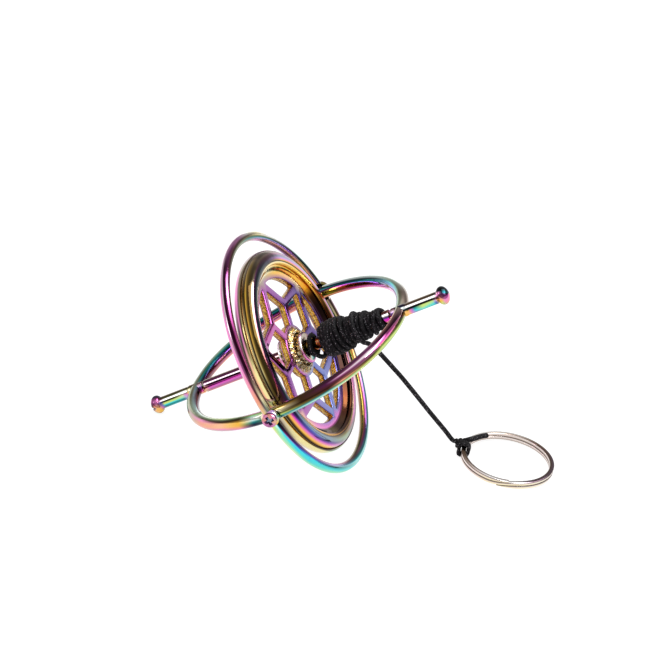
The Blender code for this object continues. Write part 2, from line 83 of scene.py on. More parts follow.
RING_CENTRE, RING_R, RING_WIDE, RING_HIGH, RING_CORNER = (54.3, 6.4), 11.05, 1.15, 0.83, 0.22
RING_PITCH, RING_TURNS, RING_CLIMB, STEP_ANGLE = 0.9, 2.04, 0.12, math.radians(46)
LIFT, LIFT_ANGLE, HITCH_ANGLE = 1.4, math.radians(225), math.radians(179)
HITCH_R, HITCH_GAP, HITCH_TURNS = 0.46, 0.15, 2
RING_HALF = (RING_PITCH + RING_HIGH) / 2
RING_TILT = math.asin(LIFT / (2 * RING_R + RING_WIDE))
RING_LIFT = RING_HALF * math.cos(RING_TILT) + (RING_R + RING_WIDE / 2) * math.sin(RING_TILT)
RING_PLACE = (
    Matrix.Translation((RING_CENTRE[0] * MM, RING_CENTRE[1] * MM, RING_LIFT * MM))
    @ Matrix.Rotation(LIFT_ANGLE, 4, "Z")
    @ Matrix.Rotation(-RING_TILT, 4, "Y")
)
TO_Y = Matrix.Rotation(-math.pi / 2, 4, "X")  # turns local Z onto local Y
TILT = Matrix.Rotation(EQUATOR_TILT, 4, "Y")

# Plating colours, and the pale and dark colours that paint highlights and reflections, as sRGB hex.
PALETTE = {
    "white": "fffdfc", "frost": "eaf4f0", "seafoam": "b4d6cf", "mint": "a0e0b8", "aqua": "5cd0d4", "cyan": "4cd4e0",
    "teal": "1f7f80", "ink": "0c2a30", "navy": "1c1c3c", "indigo": "4a58b0", "violet": "6a4a9a", "plum": "5e2a54",
    "mulberry": "86406e", "magenta": "d83cb8", "orchid": "d878c4", "pink": "e890c8", "blush": "f4d8e8",
    "salmon": "e8a088", "peach": "f0c098", "gold": "e8b850", "cream": "f8ecc0", "straw": "e8dca0", "lime": "c8dc80",
    "olive": "7a6c34", "moss": "4a4a20", "umber": "4a3420", "bark": "2a1c18", "black": "0c0a0a", "stone": "b4a898",
    "taupe": "8a7466", "rosewood": "5a2c34", "lilac": "c4a8dc", "mauve": "b070a0", "steel": "8898a8",
    "sage": "9cae90", "amethyst": "9a5cb0", "periwinkle": "8a96d8", "brass": "b07828", "grape": "5a4a56",
    "amber": "e09c28", "bronze": "7c6630", "sepia": "40341c", "fern": "525734", "wine": "2e0f22", "shell": "f4e6e2",
    "cocoa": "502c14", "silver": "d8d2cc",
}
CONTRAST = 2.2


def linear(hexcode):
    channels = np.array([int(hexcode[i : i + 2], 16) / 255 for i in (0, 2, 4)])
    return np.where(channels <= 0.04045, channels / 12.92, ((channels + 0.055) / 1.055) ** 2.4)


SHADES = {name: linear(code) for name, code in PALETTE.items()}


def bands(text, angle):
    """Square roots of the colours round a section, from a list such as "10 gold 60:80 teal", in degrees.

    The square root keeps a blend between a dark and a light band even to the eye.
    """
    words = text.split()
    stops = sorted((float(a) % 360, name) for span, name in zip(words[::2], words[1::2]) for a in span.split(":"))
    places = [a for a, _ in stops]
    tints = np.sqrt(np.array([SHADES[name] for _, name in stops]))
    angle = np.mod(angle, 360)
    return np.stack([np.interp(angle, places, tints[:, k], period=360) for k in range(3)], -1)


def striped(text, angle):
    return bands(text, angle) ** CONTRAST


def painted(stations, along, angle, period=None):
    """Colours of points, from bands at a few places along a piece. With a period, the last place meets the first."""
    table = sorted(stations.items())
    if period:
        along = np.mod(along, period)
        first, last = table[0], table[-1]
        table = [(last[0] - period, last[1]), *table, (first[0] + period, first[1])]
    else:
        along = np.clip(along, table[0][0], table[-1][0])
    result = np.zeros((*np.shape(angle), 3))
    for (low, first), (high, second) in zip(table, table[1:]):
        inside = (along >= low) & (along <= high)
        share = ((along[inside] - low) / (high - low))[..., None]
        result[inside] = bands(first, angle[inside]) * (1 - share) + bands(second, angle[inside]) * share
    return result**CONTRAST


# Mesh code

def azimuth(points):
    """Degrees round Z of each point."""
    return np.degrees(np.arctan2(points[:, 1], points[:, 0]))


def smoothstep(t):
    t = np.clip(t, 0, 1)
    return t * t * (3 - 2 * t)


def arc(centre, radius, start, end, count):
    angles = np.radians(np.linspace(start, end, count + 1))
    return [(centre[0] + radius * math.cos(a), centre[1] + radius * math.sin(a)) for a in angles]


def grid_faces(rows, columns, wrap_rows, start=0):
    """Quads over rows of vertices that each close on themselves."""
    faces = []
    for i in range(rows if wrap_rows else rows - 1):
        for j in range(columns):
            k, m = (i + 1) % rows, (j + 1) % columns
            corners = [i * columns + j, k * columns + j, k * columns + m, i * columns + m]
            faces.append([start + c for c in corners])
    return faces


def tube_faces(rows, columns):
    """A grid's faces and a flat face over each end."""
    last = (rows - 1) * columns
    return grid_faces(rows, columns, False) + [list(range(columns)), [last + i for i in range(columns)]]


def turned(profile, segments, closed=False):
    """Vertices and faces of a shape turned about Z from (radius, height) points."""
    vertices, faces, rows = [], [], []
    for radius, height in profile:
        count = 1 if radius < 1e-9 else segments
        rows.append((len(vertices), count))
        for i in range(count):
            angle = 2 * math.pi * i / segments
            vertices.append((radius * math.cos(angle), radius * math.sin(angle), height))
    pairs = list(zip(rows, rows[1:])) + ([(rows[-1], rows[0])] if closed else [])
    for (a, na), (b, nb) in pairs:
        for i in range(segments):
            j = (i + 1) % segments
            corners = [a + i % na, a + j % na, b + j % nb, b + i % nb]
            faces.append(list(dict.fromkeys(corners)))
    return np.array(vertices), faces


def joined(*shapes):
    vertices, faces = [], []
    for points, polygons in shapes:
        start = sum(len(v) for v in vertices)
        vertices.append(np.array(points))
        faces += [[start + i for i in polygon] for polygon in polygons]
    return np.concatenate(vertices), faces


def moved(shape, matrix):
    points, faces = shape
    m = np.array(matrix)
    return points @ m[:3, :3].T + m[:3, 3], faces


def crumple(points):
    """Uneven noise at points, which shuffles the colours of a raw casting."""
    return np.array([noise.noise(Vector(p) * 0.9) + 0.6 * noise.noise(Vector(p) * 2.3) for p in points])


def solid_object(name, points, faces):
    """A new object whose faces all point outwards."""
    mesh = bpy.data.meshes.new(name)
    mesh.from_pydata(np.array(points).tolist(), [], faces)
    bm = bmesh.new()
    bm.from_mesh(mesh)
    bmesh.ops.recalc_face_normals(bm, faces=bm.faces)
    bm.to_mesh(mesh)
    bm.free()
    made = bpy.data.objects.new(name, mesh)
    bpy.context.scene.collection.objects.link(made)
    return made


def make(name, shape, body, node, materials, colours=None, place=LEAN, kinds=None, sharp=40, strand=None):
    """A piece from vertices in millimetres: placed, coloured, joined to its body and standing for its CAD node."""
    piece = solid_object(name, np.array(shape[0]) * MM, shape[1])
    mesh = piece.data
    if colours is not None:
        # The vertex colours hold the plating's hues with painted highlights and painted reflections in them.
        film_and_reflections = mesh.attributes.new("film_and_reflections", "FLOAT_COLOR", "POINT")
        full = np.concatenate([colours, np.ones((len(colours), 1))], 1)
        film_and_reflections.data.foreach_set("color", full.astype(np.float32).ravel())
    if strand is not None:
        layer = mesh.attributes.new("strand", "FLOAT", "POINT")
        layer.data.foreach_set("value", np.asarray(strand, np.float32))
    mesh.transform(place)
    for finish in materials:
        mesh.materials.append(finish)
    if kinds is not None:
        mesh.polygons.foreach_set("material_index", np.asarray(kinds, np.int32))
    mesh.shade_smooth()
    mesh.set_sharp_from_angle(angle=math.radians(sharp))
    mesh.update()
    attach(piece, body)
    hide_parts(node)
    return piece


# Materials

class Nodes:
    """A short way to write a material's node tree. An input is a socket or a constant."""

    def __init__(self, name):
        self.material = bpy.data.materials.new(name)
        self.material.use_nodes = True
        self.tree = self.material.node_tree
        self.shader = self.tree.nodes["Principled BSDF"]

    def add(self, kind, inputs=None, **settings):
        node = self.tree.nodes.new(kind)
        for key, value in settings.items():
            setattr(node, key, value)
        for key, value in (inputs or {}).items():
            if isinstance(value, bpy.types.NodeSocket):
                self.tree.links.new(value, node.inputs[key])
            else:
                node.inputs[key].default_value = value
        return node

    def link(self, socket, name):
        self.tree.links.new(socket, self.shader.inputs[name])

    def attribute(self, name, output):
        return self.add("ShaderNodeAttribute", attribute_name=name).outputs[output]

    def place(self):
        return self.add("ShaderNodeTexCoord").outputs["Object"]

    def noise(self, scale, detail=3.0, rough=0.5):
        inputs = {"Vector": self.place(), "Scale": scale, "Detail": detail, "Roughness": rough}
        return self.add("ShaderNodeTexNoise", inputs).outputs["Fac"]

    def spread(self, socket, low, high, new_low=0.0, new_high=1.0):
        inputs = {"Value": socket, "From Min": low, "From Max": high, "To Min": new_low, "To Max": new_high}
        return self.add("ShaderNodeMapRange", inputs).outputs["Result"]

    def math(self, operation, *values):
        return self.add("ShaderNodeMath", dict(enumerate(values)), operation=operation).outputs[0]

    def mix(self, factor, first, second):
        return self.add("ShaderNodeMix", {0: factor, 6: first, 7: second}, data_type="RGBA").outputs[2]

    def bump(self, height, distance):
        made = self.add("ShaderNodeBump", {"Height": height, "Distance": distance})
        self.link(made.outputs["Normal"], "Normal")


def plating(name, rough_low, rough_high, grit_glints_and_shade=0.0, speck=0.35, bump=0.00002, grain=2700, glint=(0.9, 0.82, 0.72, 1)):
    """Painted interference colours, with painted highlights and reflections in them, drifting a little, with pits and
    wear. The grit setting adds painted glints and painted shade in dark hollows.
    """
    nodes = Nodes(name)
    nodes.shader.inputs["Metallic"].default_value = 1.0
    film_and_reflections = nodes.attribute("film_and_reflections", "Color")
    drift = nodes.spread(nodes.noise(420, 2), 0.3, 0.7, -0.009, 0.009)
    shift = {"Hue": nodes.math("ADD", drift, 0.5), "Saturation": 1.0, "Value": 1.0, "Color": film_and_reflections}
    shifted = nodes.add("ShaderNodeHueSaturation", shift).outputs[0]
    pits = nodes.spread(nodes.noise(3600, 2, 0.6), 0.63, 0.76)
    colour = nodes.mix(nodes.math("MULTIPLY", pits, speck), shifted, (0.02, 0.012, 0.02, 1))
    if grit_glints_and_shade:
        # painted glints: specks mixed towards the glint colour
        glint_grains = nodes.spread(nodes.noise(2300, 4, 0.7), 0.5, 0.72)
        colour = nodes.mix(nodes.math("MULTIPLY", glint_grains, grit_glints_and_shade), colour, glint)
        # painted shade: dark hollows mixed towards dark brown
        hollows = nodes.spread(nodes.noise(grain, 3, 0.65), 0.5, 0.6)
        colour = nodes.mix(nodes.math("MULTIPLY", hollows, 2.2 * grit_glints_and_shade), colour, (0.05, 0.025, 0.012, 1))
    nodes.link(colour, "Base Color")
    nodes.link(nodes.spread(nodes.noise(900, 3), 0.35, 0.7, rough_low, rough_high), "Roughness")
    nodes.bump(nodes.noise(0.65 * grain if grit_glints_and_shade else 700, 3, 0.6), bump)
    return nodes.material


def cord_material():
    """Near-black fibres with pale flecks, a painted sheen, where the braid's strands rise, and painted shade between
    them.
    """
    nodes = Nodes("black_braided_cord")
    strand = nodes.attribute("strand", "Fac")
    cells = nodes.add("ShaderNodeTexVoronoi", {"Vector": nodes.place(), "Scale": 2900.0}).outputs["Distance"]
    dots = nodes.spread(cells, 0.34, 0.12)
    fibres = nodes.noise(1900, 3, 0.7)
    picked = nodes.math("MULTIPLY", dots, nodes.spread(fibres, 0.38, 0.56))
    fuzz_and_sheen = nodes.math("MULTIPLY_ADD", picked, 0.9, 0.012)
    # The flecks show only where the strand value is high: painted sheen on rising strands and painted shade in the
    # grooves between.
    lit = nodes.math("MULTIPLY", fuzz_and_sheen, nodes.spread(strand, 0.1, 0.8))
    nodes.link(nodes.mix(lit, (0.003, 0.0025, 0.0035, 1), (0.42, 0.38, 0.42, 1)), "Base Color")
    nodes.link(nodes.spread(fibres, 0.3, 0.7, 0.85, 0.6), "Roughness")
    nodes.shader.inputs["Specular IOR Level"].default_value = 0.12
    nodes.bump(cells, 0.00012)
    return nodes.material


FILM = plating("rainbow_plating_rings", 0.05, 0.11)
FILM_POST = plating("rainbow_plating_posts", 0.07, 0.14)
FILM_RIM = plating("rainbow_plating_rim", 0.05, 0.12)
FILM_CAST = plating("rainbow_plating_spokes", 0.06, 0.16, bump=0.00003)
FILM_WALL = plating(
    "rainbow_plating_cut_walls", 0.1, 0.3, grit_glints_and_shade=0.32, speck=1.0, bump=0.0005, grain=2200, glint=(0.98, 0.74, 0.3, 1)
)
STEEL = plating("screw_steel", 0.14, 0.3)
BRASS = plating("bearing_brass", 0.12, 0.3, grit_glints_and_shade=0.15)
FILM_RAW = plating(
    "raw_casting", 0.12, 0.3, grit_glints_and_shade=0.16, speck=1.0, bump=0.0012, grain=800, glint=(0.9, 0.78, 0.5, 1)
)
NICKEL = plating("nickel_wire", 0.07, 0.17, speck=0.2)
CORD = cord_material()


# Cage rings

def torus(radius, wire, segments, sides):
    """Vertices with their place round the ring and round the wire, in degrees. Starts on X, outward is 0."""
    ring = np.linspace(0, 360, segments, endpoint=False)
    round_wire = np.linspace(0, 360, sides, endpoint=False)
    a, b = np.meshgrid(ring, round_wire, indexing="ij")
    out = radius + wire * np.cos(np.radians(b))
    points = np.stack([out * np.cos(np.radians(a)), out * np.sin(np.radians(a)), wire * np.sin(np.radians(b))], -1)
    return points.reshape(-1, 3), grid_faces(segments, sides, True), a.ravel(), b.ravel()


# Bands round the wire at places round the equator ring: 0 faces outward and 90 the plain post.
# The bands hold the plating's hues with painted light in them: the white, frost and blush bands are painted highlights
# and reflections of bright surroundings, and the wine, ink, black and bark bands painted reflections of the dark
# studio.
EQUATOR_FILM_AND_REFLECTIONS = {
    0: "-150 stone -100 peach -50 pink 0 violet 35 teal 60 aqua 85 seafoam 105 teal 132 plum 155 rosewood 172 olive",
    25: "-150 taupe -100 gold -50 pink 0 mauve 40 seafoam 65:92 frost 104 teal 115 navy 135 plum 165 gold",
    40: "-150 blush -100 peach -40 mauve 20 seafoam 70:95 frost 108 teal 116 navy 138 mauve 165 gold",
    60: "-150 blush -60 peach 0 pink 70 blush 100 stone 115 umber 145 gold 170 umber",
    80: "-150 blush -60 pink 0 lilac 60 mint 75:98 blush 115 umber 130 bark 150 cream 170 umber",
    95: "-150 gold -120 peach -60 salmon 0 pink 50 mint 80 seafoam "
        "100 olive 112 ink 125 navy 140 plum 150 salmon 165 gold",
    110: "-150 lilac -120 aqua -60 mint 0:60 frost 90 seafoam 108 navy 120 ink 135 olive 150 salmon 165 gold",
    120: "-150 lilac -60 seafoam 0:95 frost 107 navy 120 plum 135 violet 155 salmon 170 rosewood",
    140: "-150 mauve -60 frost 0:95 white 112 moss 122 teal 135 lilac 155 salmon 175 rosewood",
    150: "-150 violet -60 frost 0 white 40:90 cream 105 olive 120 teal 140 lilac 157 pink 175 mauve",
    160: "-150 taupe -90 pink -40 blush 0:60 white 80 taupe 100 moss 120 teal 140 stone 165 taupe",
    170: "-150 taupe -90 salmon -40:10 blush 35:60 mauve 80 umber 100 moss 120 sage 150 taupe",
    180: "-150 taupe -90 peach -45:0 blush 20 mauve 45 plum 70 rosewood 98 moss 120 sage 150 taupe",
    195: "-150 taupe -90 peach -50:4 blush 12:26 wine 55 plum 78 rosewood 100 moss 125:150 taupe",
    210: "-150 taupe -90 peach -50:-16 pink -8:4 blush 11:28 wine 38 plum 50:65 mauve 80 rosewood 100 moss 125 taupe",
    221: "-150 taupe -90 peach -50:-15 pink -8:2 blush 9:26 wine 46 mulberry 64 plum 80 rosewood 100 moss 125 taupe",
    229: "-150 taupe -90 peach -50:-15 pink -6:1 blush 8 plum 14:60 wine 76 plum 90 pink 104 moss 125 taupe",
    246: "-150 taupe -90 peach -50 blush -15:0 pink 14 mauve 24:58 wine 70 rosewood 82 pink 92 moss 120 taupe",
    260: "-150 taupe -90 cream -50 blush -25:5 salmon 25 rosewood 42:58 cream 80:110 moss 150 taupe",
    274: "-150 taupe -90:-50 cream -10 lime 10 mint 25 frost 38 cyan 46 ink 90 black 115 bark 150 umber",
    280: "-150 gold -90 lime -50 cream -10:12 mint 30:42 cyan 50 magenta 62:80 plum 100 bark 150 umber",
    290: "-150 gold -90 lime -40 cream 0 mint 25:45 cyan 55:68 indigo 80 violet 100 rosewood 150 umber",
    300: "-150 gold -90 cream -20 mint 20 aqua 60 cyan 74 indigo 86 violet 110 mauve 150 rosewood",
    320: "-150 umber -90 lime -30:15 mint 50 aqua 78 teal 90 steel 112 lilac 140 pink 165 mauve",
    345: "-150 taupe -100 pink -50 peach 0 mint 40 aqua 78 seafoam 95 aqua 112 teal 135 rosewood 165 olive",
}

# The meridian ring: round from the plain post towards the back screw, 90 faces along +X.
# The bands hold the plating's hues with painted light in them: the white and frost bands are painted highlights and
# reflections of bright surroundings, and the wine, ink, navy and bark bands painted reflections of the dark studio.
MERIDIAN_FILM_AND_REFLECTIONS = {
    3: "-150 lilac -120 seafoam -95 sage -60 stone -20 taupe 10:50 stone 90 lilac 130 salmon 165 pink",
    15: "-150 lilac -120 seafoam -95 moss -60:-20 taupe 15 stone 50 lilac 90 mint 130 salmon 165 pink",
    30: "-170 pink -150 blush -130 periwinkle -112 aqua -90 sage -60:-15 frost 30 lilac 80 mint 130 salmon",
    50: "-175 magenta -155 violet -137 teal -117 ink -102:-60 frost 0 seafoam 60 aqua 110:135 salmon 165 pink",
    66: "-176 amber -166 gold -158 magenta -150 plum -141 teal -120 ink "
        "-104:-60 frost 0 seafoam 60 aqua 110 straw 135 salmon 165 magenta",
    82: "-178 brass -166 amber -156 gold -148 magenta -140 plum -132 teal -116 navy "
        "-103:-60 frost 0 mint 60 cyan 110 lime 135 salmon 165 brass",
    115: "-174 salmon -165 magenta -157 violet -149 navy -140 ink -133 teal "
        "-115 ink -92:-60 frost 0 mint 60 peach 110:140 salmon 165 mauve",
    150: "-174 salmon -165 plum -156 violet -148 navy -138 ink -124 teal "
        "-104 sage -88:-60 frost 0 mint 60 peach 110:140 salmon 165 mauve",
    172: "-165 plum -155 navy -145 ink -130 teal -112 moss -95:-60 frost 0 stone 60 lilac 120 salmon 150 taupe",
    190: "-150 rosewood -120 steel -95 olive -72:-40 sage 0 stone 60 lilac 120 mauve 165 plum",
    205: "-150 steel -120 seafoam -90 sage -62 stone -30 sage 0 stone "
        "20 pink 32 salmon 55 lilac 90 aqua 120 teal 165 plum",
    225: "-150:-115 frost -90 sage -74 moss -62 pink -30:5 salmon 28 stone 55 lilac 90 aqua 120 teal 165 gold",
    242: "-150:-120 frost -92 lime -78 sage -66:-56 umber -45:-10 peach 12 pink 30 stone 55 lilac 90 aqua 165 gold",
    253: "-150:-120 frost -92 sage -74 moss -60 umber -46:-10 gold 15 salmon 35 pink 55 lilac 90 aqua 165 gold",
    261: "-150 seafoam -120 lilac -95 pink -80 lime -65 mint -50:-30 frost -10 teal 15 navy 35 ink 60 violet 120 gold",
    275: "-150 frost -115:-90 lilac -72 olive -55 gold -44:-22 cream "
        "-8 moss 8 lime 18 teal 45 seafoam 70 aqua 120 lilac",
    286: "-150 frost -110 lilac -85 olive -68:-8 umber 8 olive 18 teal 32 seafoam 60 aqua 100 lilac",
    299: "-150 blush -110 pink -85 bark -40 plum -20 rosewood 8 umber 18 teal 30 seafoam 55 mint 80 aqua 120 lilac",
    306: "-150 blush -110 pink -82 bark -58 plum -47 rosewood -43 blush -36 pink -31 mulberry "
        "-14 rosewood 0:10 salmon 18 olive 30 mint 55 straw 90 mint 130 aqua",
    324: "-150 blush -110 pink -75 plum -56 mulberry -50 blush -46:-34 white "
        "-29 mulberry -12 mauve 0 moss 10 olive 22 lime 55 straw 90 mint 130 aqua",
    331: "-150 lilac -110 salmon -75 plum -58 bark -51 plum -46:-38 pink "
        "-33 plum -12 rosewood 0:15 lime 55 sage 90 seafoam 130 pink",
    338: "-150 lilac -110 salmon -75 rosewood -60:-32 wine -24 plum "
        "-12 rosewood 0:15 lime 55 sage 90 seafoam 130 pink",
    349: "-150 lilac -110 salmon -75 rosewood -60:-26 wine -10 olive 0 moss 15 lime 55 sage 90 seafoam 130 pink",
}
LUG_FILMS = (
    "0 olive 90 gold 180 taupe 270 olive",
    "0 seafoam 60 gold 120 mint 170 teal 215 cream 270 pink 320 lilac",
)


def cage_rings():
    points, faces, ring, wire = torus(MERIDIAN_R, MERIDIAN_WIRE, 360, 44)
    # turned so that the ring starts at the plain post, runs towards +Y, and 90 on the wire is +X
    points = points[:, [2, 1, 0]]
    colours = painted(MERIDIAN_FILM_AND_REFLECTIONS, ring, wire, 360)
    near = (np.abs(points[:, 0]) < LAP_HALF) & (np.abs(points[:, 2]) < LAP_HALF)
    points[near, 1] = np.clip(points[near, 1], -LAP_Y + LAP_GAP, LAP_Y - LAP_GAP)
    make("meridian_wire", (points, faces), "cage", "meridian_ring", [FILM], colours)

    points, faces, ring, wire = torus(EQUATOR_R, EQUATOR_WIRE, 360, 40)
    seat = LAP_Y + LAP_GAP
    near = (np.abs(points[:, 0]) < LAP_HALF) & (np.abs(points[:, 1]) > LAP_Y - 10)
    points[near, 1] = np.sign(points[near, 1]) * np.maximum(np.abs(points[near, 1]), seat)
    lug = [(0, seat), (LUG_R - 0.1, seat), (LUG_R, seat + 0.1), (LUG_R, LUG_TOP - 0.35)]
    lug += arc((LUG_R - 0.25, LUG_TOP - 0.25), 0.25, 10, 90, 6) + [(0, LUG_TOP)]
    shapes, tints = [(points, faces)], [painted(EQUATOR_FILM_AND_REFLECTIONS, ring, wire, 360)]
    for flip, film_and_reflections in zip((0, math.pi), LUG_FILMS):
        shapes.append(moved(turned(lug, 72), Matrix.Rotation(flip, 4, "Z") @ TO_Y))
        tints.append(bands(film_and_reflections, azimuth(shapes[-1][0][:, [2, 0]])) ** 2)
    shape, colours = moved(joined(*shapes), TILT), np.concatenate(tints)
    make("equator_wire", shape, "cage", "equator_ring", [FILM], colours)


def screw(name, node, flip):
    """A pan head with a tapered cross recess, and its shank."""
    segments = 96
    turn = 2 * math.pi * np.arange(segments) / segments
    edge = arc((HEAD_R - HEAD_EDGE, 0), HEAD_EDGE, 70, 0, 3)
    rings = [*np.linspace(0.08, HEAD_R - HEAD_EDGE, 26), *[r for r, _ in edge]]
    radius = np.concatenate([[0], np.repeat(rings, segments)])
    angle = np.concatenate([[0], np.tile(turn, len(rings))])
    x, y = np.abs(radius * np.cos(angle)), np.abs(radius * np.sin(angle))
    near_arm = np.minimum(np.maximum(x / 1.1, y / 0.36), np.maximum(y / 1.1, x / 0.36))
    sunk = np.clip((1.15 - near_arm) / 0.35, 0, 1)
    lip = np.maximum(0, radius - (HEAD_R - HEAD_EDGE)) / HEAD_EDGE
    height = HEAD_TOP - 0.07 * (radius / HEAD_R) ** 2 - 0.5 * smoothstep(sunk) - 0.15 * lip**2
    film_and_reflections = "0 pink 50 salmon 90 pink 150 mauve 200 pink 240 peach 290 pink 330 salmon"
    # The cross recess is painted steel and darker navy: painted shade in the recess.
    floor = np.where(near_arm[:, None] < 0.6, SHADES["steel"] * 0.8, SHADES["navy"] * 2.0)
    sunk = sunk[:, None]
    tints = 0.75 * bands(film_and_reflections, np.degrees(angle)) ** 2 * (1 - sunk) + floor * sunk
    skirt = ((HEAD_R, LUG_TOP + 0.06), (SHANK_R, LUG_TOP + 0.06), (SHANK_R, SHANK_END))
    radius = np.concatenate([radius, np.repeat([r for r, _ in skirt], segments)])
    angle = np.concatenate([angle, np.tile(turn, len(skirt))])
    height = np.concatenate([height, np.repeat([z for _, z in skirt], segments)])
    tints = np.concatenate([tints, np.tile(SHADES["mulberry"], (len(skirt) * segments, 1))])
    points = np.stack([radius * np.cos(angle), radius * np.sin(angle), height], -1)
    rows = len(rings) + len(skirt)
    faces = [[0, 1 + i, 1 + (i + 1) % segments] for i in range(segments)]
    faces += grid_faces(rows, segments, False, 1) + [[1 + (rows - 1) * segments + i for i in range(segments)]]
    shape = moved((points, faces), TILT @ Matrix.Rotation(flip, 4, "Z") @ TO_Y)
    make(name, shape, "cage", node, [STEEL], tints)


# Bands round the posts by height above the middle: 0 is +X and 90 the back.
# On both posts the pale stripe near 215 to 235 is a painted highlight, and the darkest bands beside it painted
# reflections of the dark studio; the rest are the plating's hues.
POST_PLAIN_FILM_AND_REFLECTIONS = {
    30.0: "165 stone 195:211 navy 217:238 frost 242 ink 252 navy 262 peach 290:320 gold 20 pink 80 violet 120 teal",
    31.2: "165:185 stone 193:210 umber 215:234 white 238:251 ink 262 gold "
        "290 peach 320 gold 20 pink 80 violet 120 teal",
    32.0: "165:185 stone 193:210 umber 215:234 white 238 ink 250 black "
        "262:290 orchid 320 lilac 20 pink 80 violet 120 teal",
    33.0: "165:185 stone 193:210 umber 215:234 white 238:251 black "
        "258 teal 285 cyan 315 steel 20 lilac 80 pink 120 gold",
    35.0: "165:185 stone 193:210 umber 215:234 white 238:250 black "
        "257:275 lime 290 mint 315 aqua 20 lilac 80 pink 120 gold",
    37.8: "165:185 stone 193:210 umber 215:234 white 238:250 black 257 lime "
        "275 mint 290:315 aqua 20 lilac 80 pink 120 gold",
    38.6: "165:185 stone 193:210 bark 214:236 white 243 bark 252 plum "
        "262 lilac 290 indigo 320 steel 20 lilac 80 mauve 120 peach",
    39.3: "165:208 plum 214:232 blush 240 mulberry 265:290 gold 325 sage 20 mint 80 aqua 120 violet",
    40.2: "165 ink 195 bark 212 ink 217:228 pink 236 plum 262 salmon "
        "272 gold 290 lime 325 sage 20 mint 80 aqua 120 violet",
    41.0: "165 ink 195 black 225 ink 240:256 plum 265:290 pink 325 salmon 20 peach 80 aqua 120 indigo",
    41.8: "165 black 195 ink 225 teal 240 ink 256 plum 265 magenta 290:325 pink 20 peach 80 teal 120 indigo",
}
# The pale stripe and the darkest bands here are the same painted highlight and painted reflections.
POST_SLOTTED_FILM_AND_REFLECTIONS = {
    30.4: "165:185 taupe 192:208 moss 213:232 cream 245 gold 270 orchid 295:325 steel 20 lilac 80 mint 120 straw",
    31.4: "165:185 taupe 192:208 moss 213:232 white 245 orchid 270:295 lilac 325 steel 20 lilac 80 mint 120 straw",
    32.4: "165:185 taupe 192:208 moss 213:232 white 242 straw 270 mint 290 teal 325 steel 20 lilac 80 aqua 120 cream",
    35.0: "165:185 taupe 190:213 moss 216:230 white 235:249 fern 254:264 lime "
        "276 cyan 290 teal 325 aqua 20 mint 80 aqua 120 pink",
    37.8: "165:185 taupe 190:213 moss 216:230 white 235:249 fern 254:264 lime "
        "276 cyan 290 teal 325 steel 20 mint 80 aqua 120 pink",
    38.7: "165 plum 192 bark 208 rosewood 214 mulberry 230 blush 240 indigo "
        "265 violet 295 orchid 325 violet 20 teal 80 aqua 120 pink",
    39.4: "165 ink 188 plum 200 mulberry 224 pink 240 mauve 262 peach 300:325 gold 20 olive 80 teal 120 violet",
    40.2: "165:186 ink 204 mulberry 222 mauve 236 mulberry 255 salmon "
        "275 gold 300 peach 325 brass 20 olive 80 teal 120 violet",
    41.0: "165 ink 186 navy 204 pink 222 mulberry 245 bark 275 salmon 300 stone 325 mint 20 teal 80 violet 120 pink",
    41.8: "165 ink 195 teal 220 rosewood 250 bark 275 rosewood 300 moss 325 ink 20 teal 80 violet 120 pink",
}


def slotted(shape):
    """The post with a round-bottomed slot cut into its button, by an exact Boolean."""
    bottom, top, reach = BUTTON_Z + BUTTON_HALF - SLOT_DEPTH, BUTTON_Z + 3, 3
    outline = [(-SLOT_HALF, top), (SLOT_HALF, top)] + arc((0, bottom + SLOT_HALF), SLOT_HALF, 0, -180, 10)
    points = [(x, -reach, z) for x, z in outline] + [(x, reach, z) for x, z in outline]
    count = len(outline)
    faces = [list(range(count)), list(range(2 * count - 1, count - 1, -1))]
    faces += [[i, (i + 1) % count, count + (i + 1) % count, count + i] for i in range(count)]
    target, cutter = solid_object("cut_target", *shape), solid_object("cut_tool", points, faces)
    step = target.modifiers.new("slot", "BOOLEAN")
    step.operation, step.object, step.solver = "DIFFERENCE", cutter, "EXACT"
    graph = bpy.context.evaluated_depsgraph_get()
    mesh = bpy.data.meshes.new_from_object(target.evaluated_get(graph))
    vertices = np.array([v.co[:] for v in mesh.vertices])
    polygons = [list(p.vertices) for p in mesh.polygons]
    bpy.data.meshes.remove(mesh)
    for obj in (target, cutter):
        old = obj.data
        bpy.data.objects.remove(obj)
        bpy.data.meshes.remove(old)
    return vertices, polygons


def post(name, node, film_and_reflections, lower):
    """A post with a flattened ball on its end. The lower one is slotted."""
    neck = BUTTON_HALF * math.sqrt(1 - (POST_R / BUTTON_R) ** 2)
    start = math.degrees(math.atan2(-neck / BUTTON_HALF, POST_R / BUTTON_R))
    profile = [(0, MERIDIAN_R)]
    profile += [(1.62, z) for z in (MERIDIAN_R, 29.6, 30.1)] + arc((POST_R, 30.3), 0.12, 0, 30, 2)
    profile += [(POST_R, z) for z in np.linspace(30.6, BUTTON_Z - neck - 0.25, 26)]
    profile += [(POST_R + 0.03, BUTTON_Z - neck - 0.1)]
    for angle in np.radians(np.linspace(start + 4, 90, 26)[:-1]):
        profile.append((BUTTON_R * math.cos(angle), BUTTON_Z + BUTTON_HALF * math.sin(angle)))
    shape = turned([*profile, (0, BUTTON_Z + BUTTON_HALF)], 96)
    points, faces = slotted(shape) if lower else shape
    if lower:
        points[:, [0, 2]] *= -1
    colours = painted(film_and_reflections, np.abs(points[:, 2]), azimuth(points))
    make(name, (points, faces), "cage", node, [FILM_POST], colours, sharp=35)


CUP_FILM = "150 taupe 190 rosewood 215 blush 240 violet 270 magenta 300 salmon 330 peach 60 gold 110 mint"


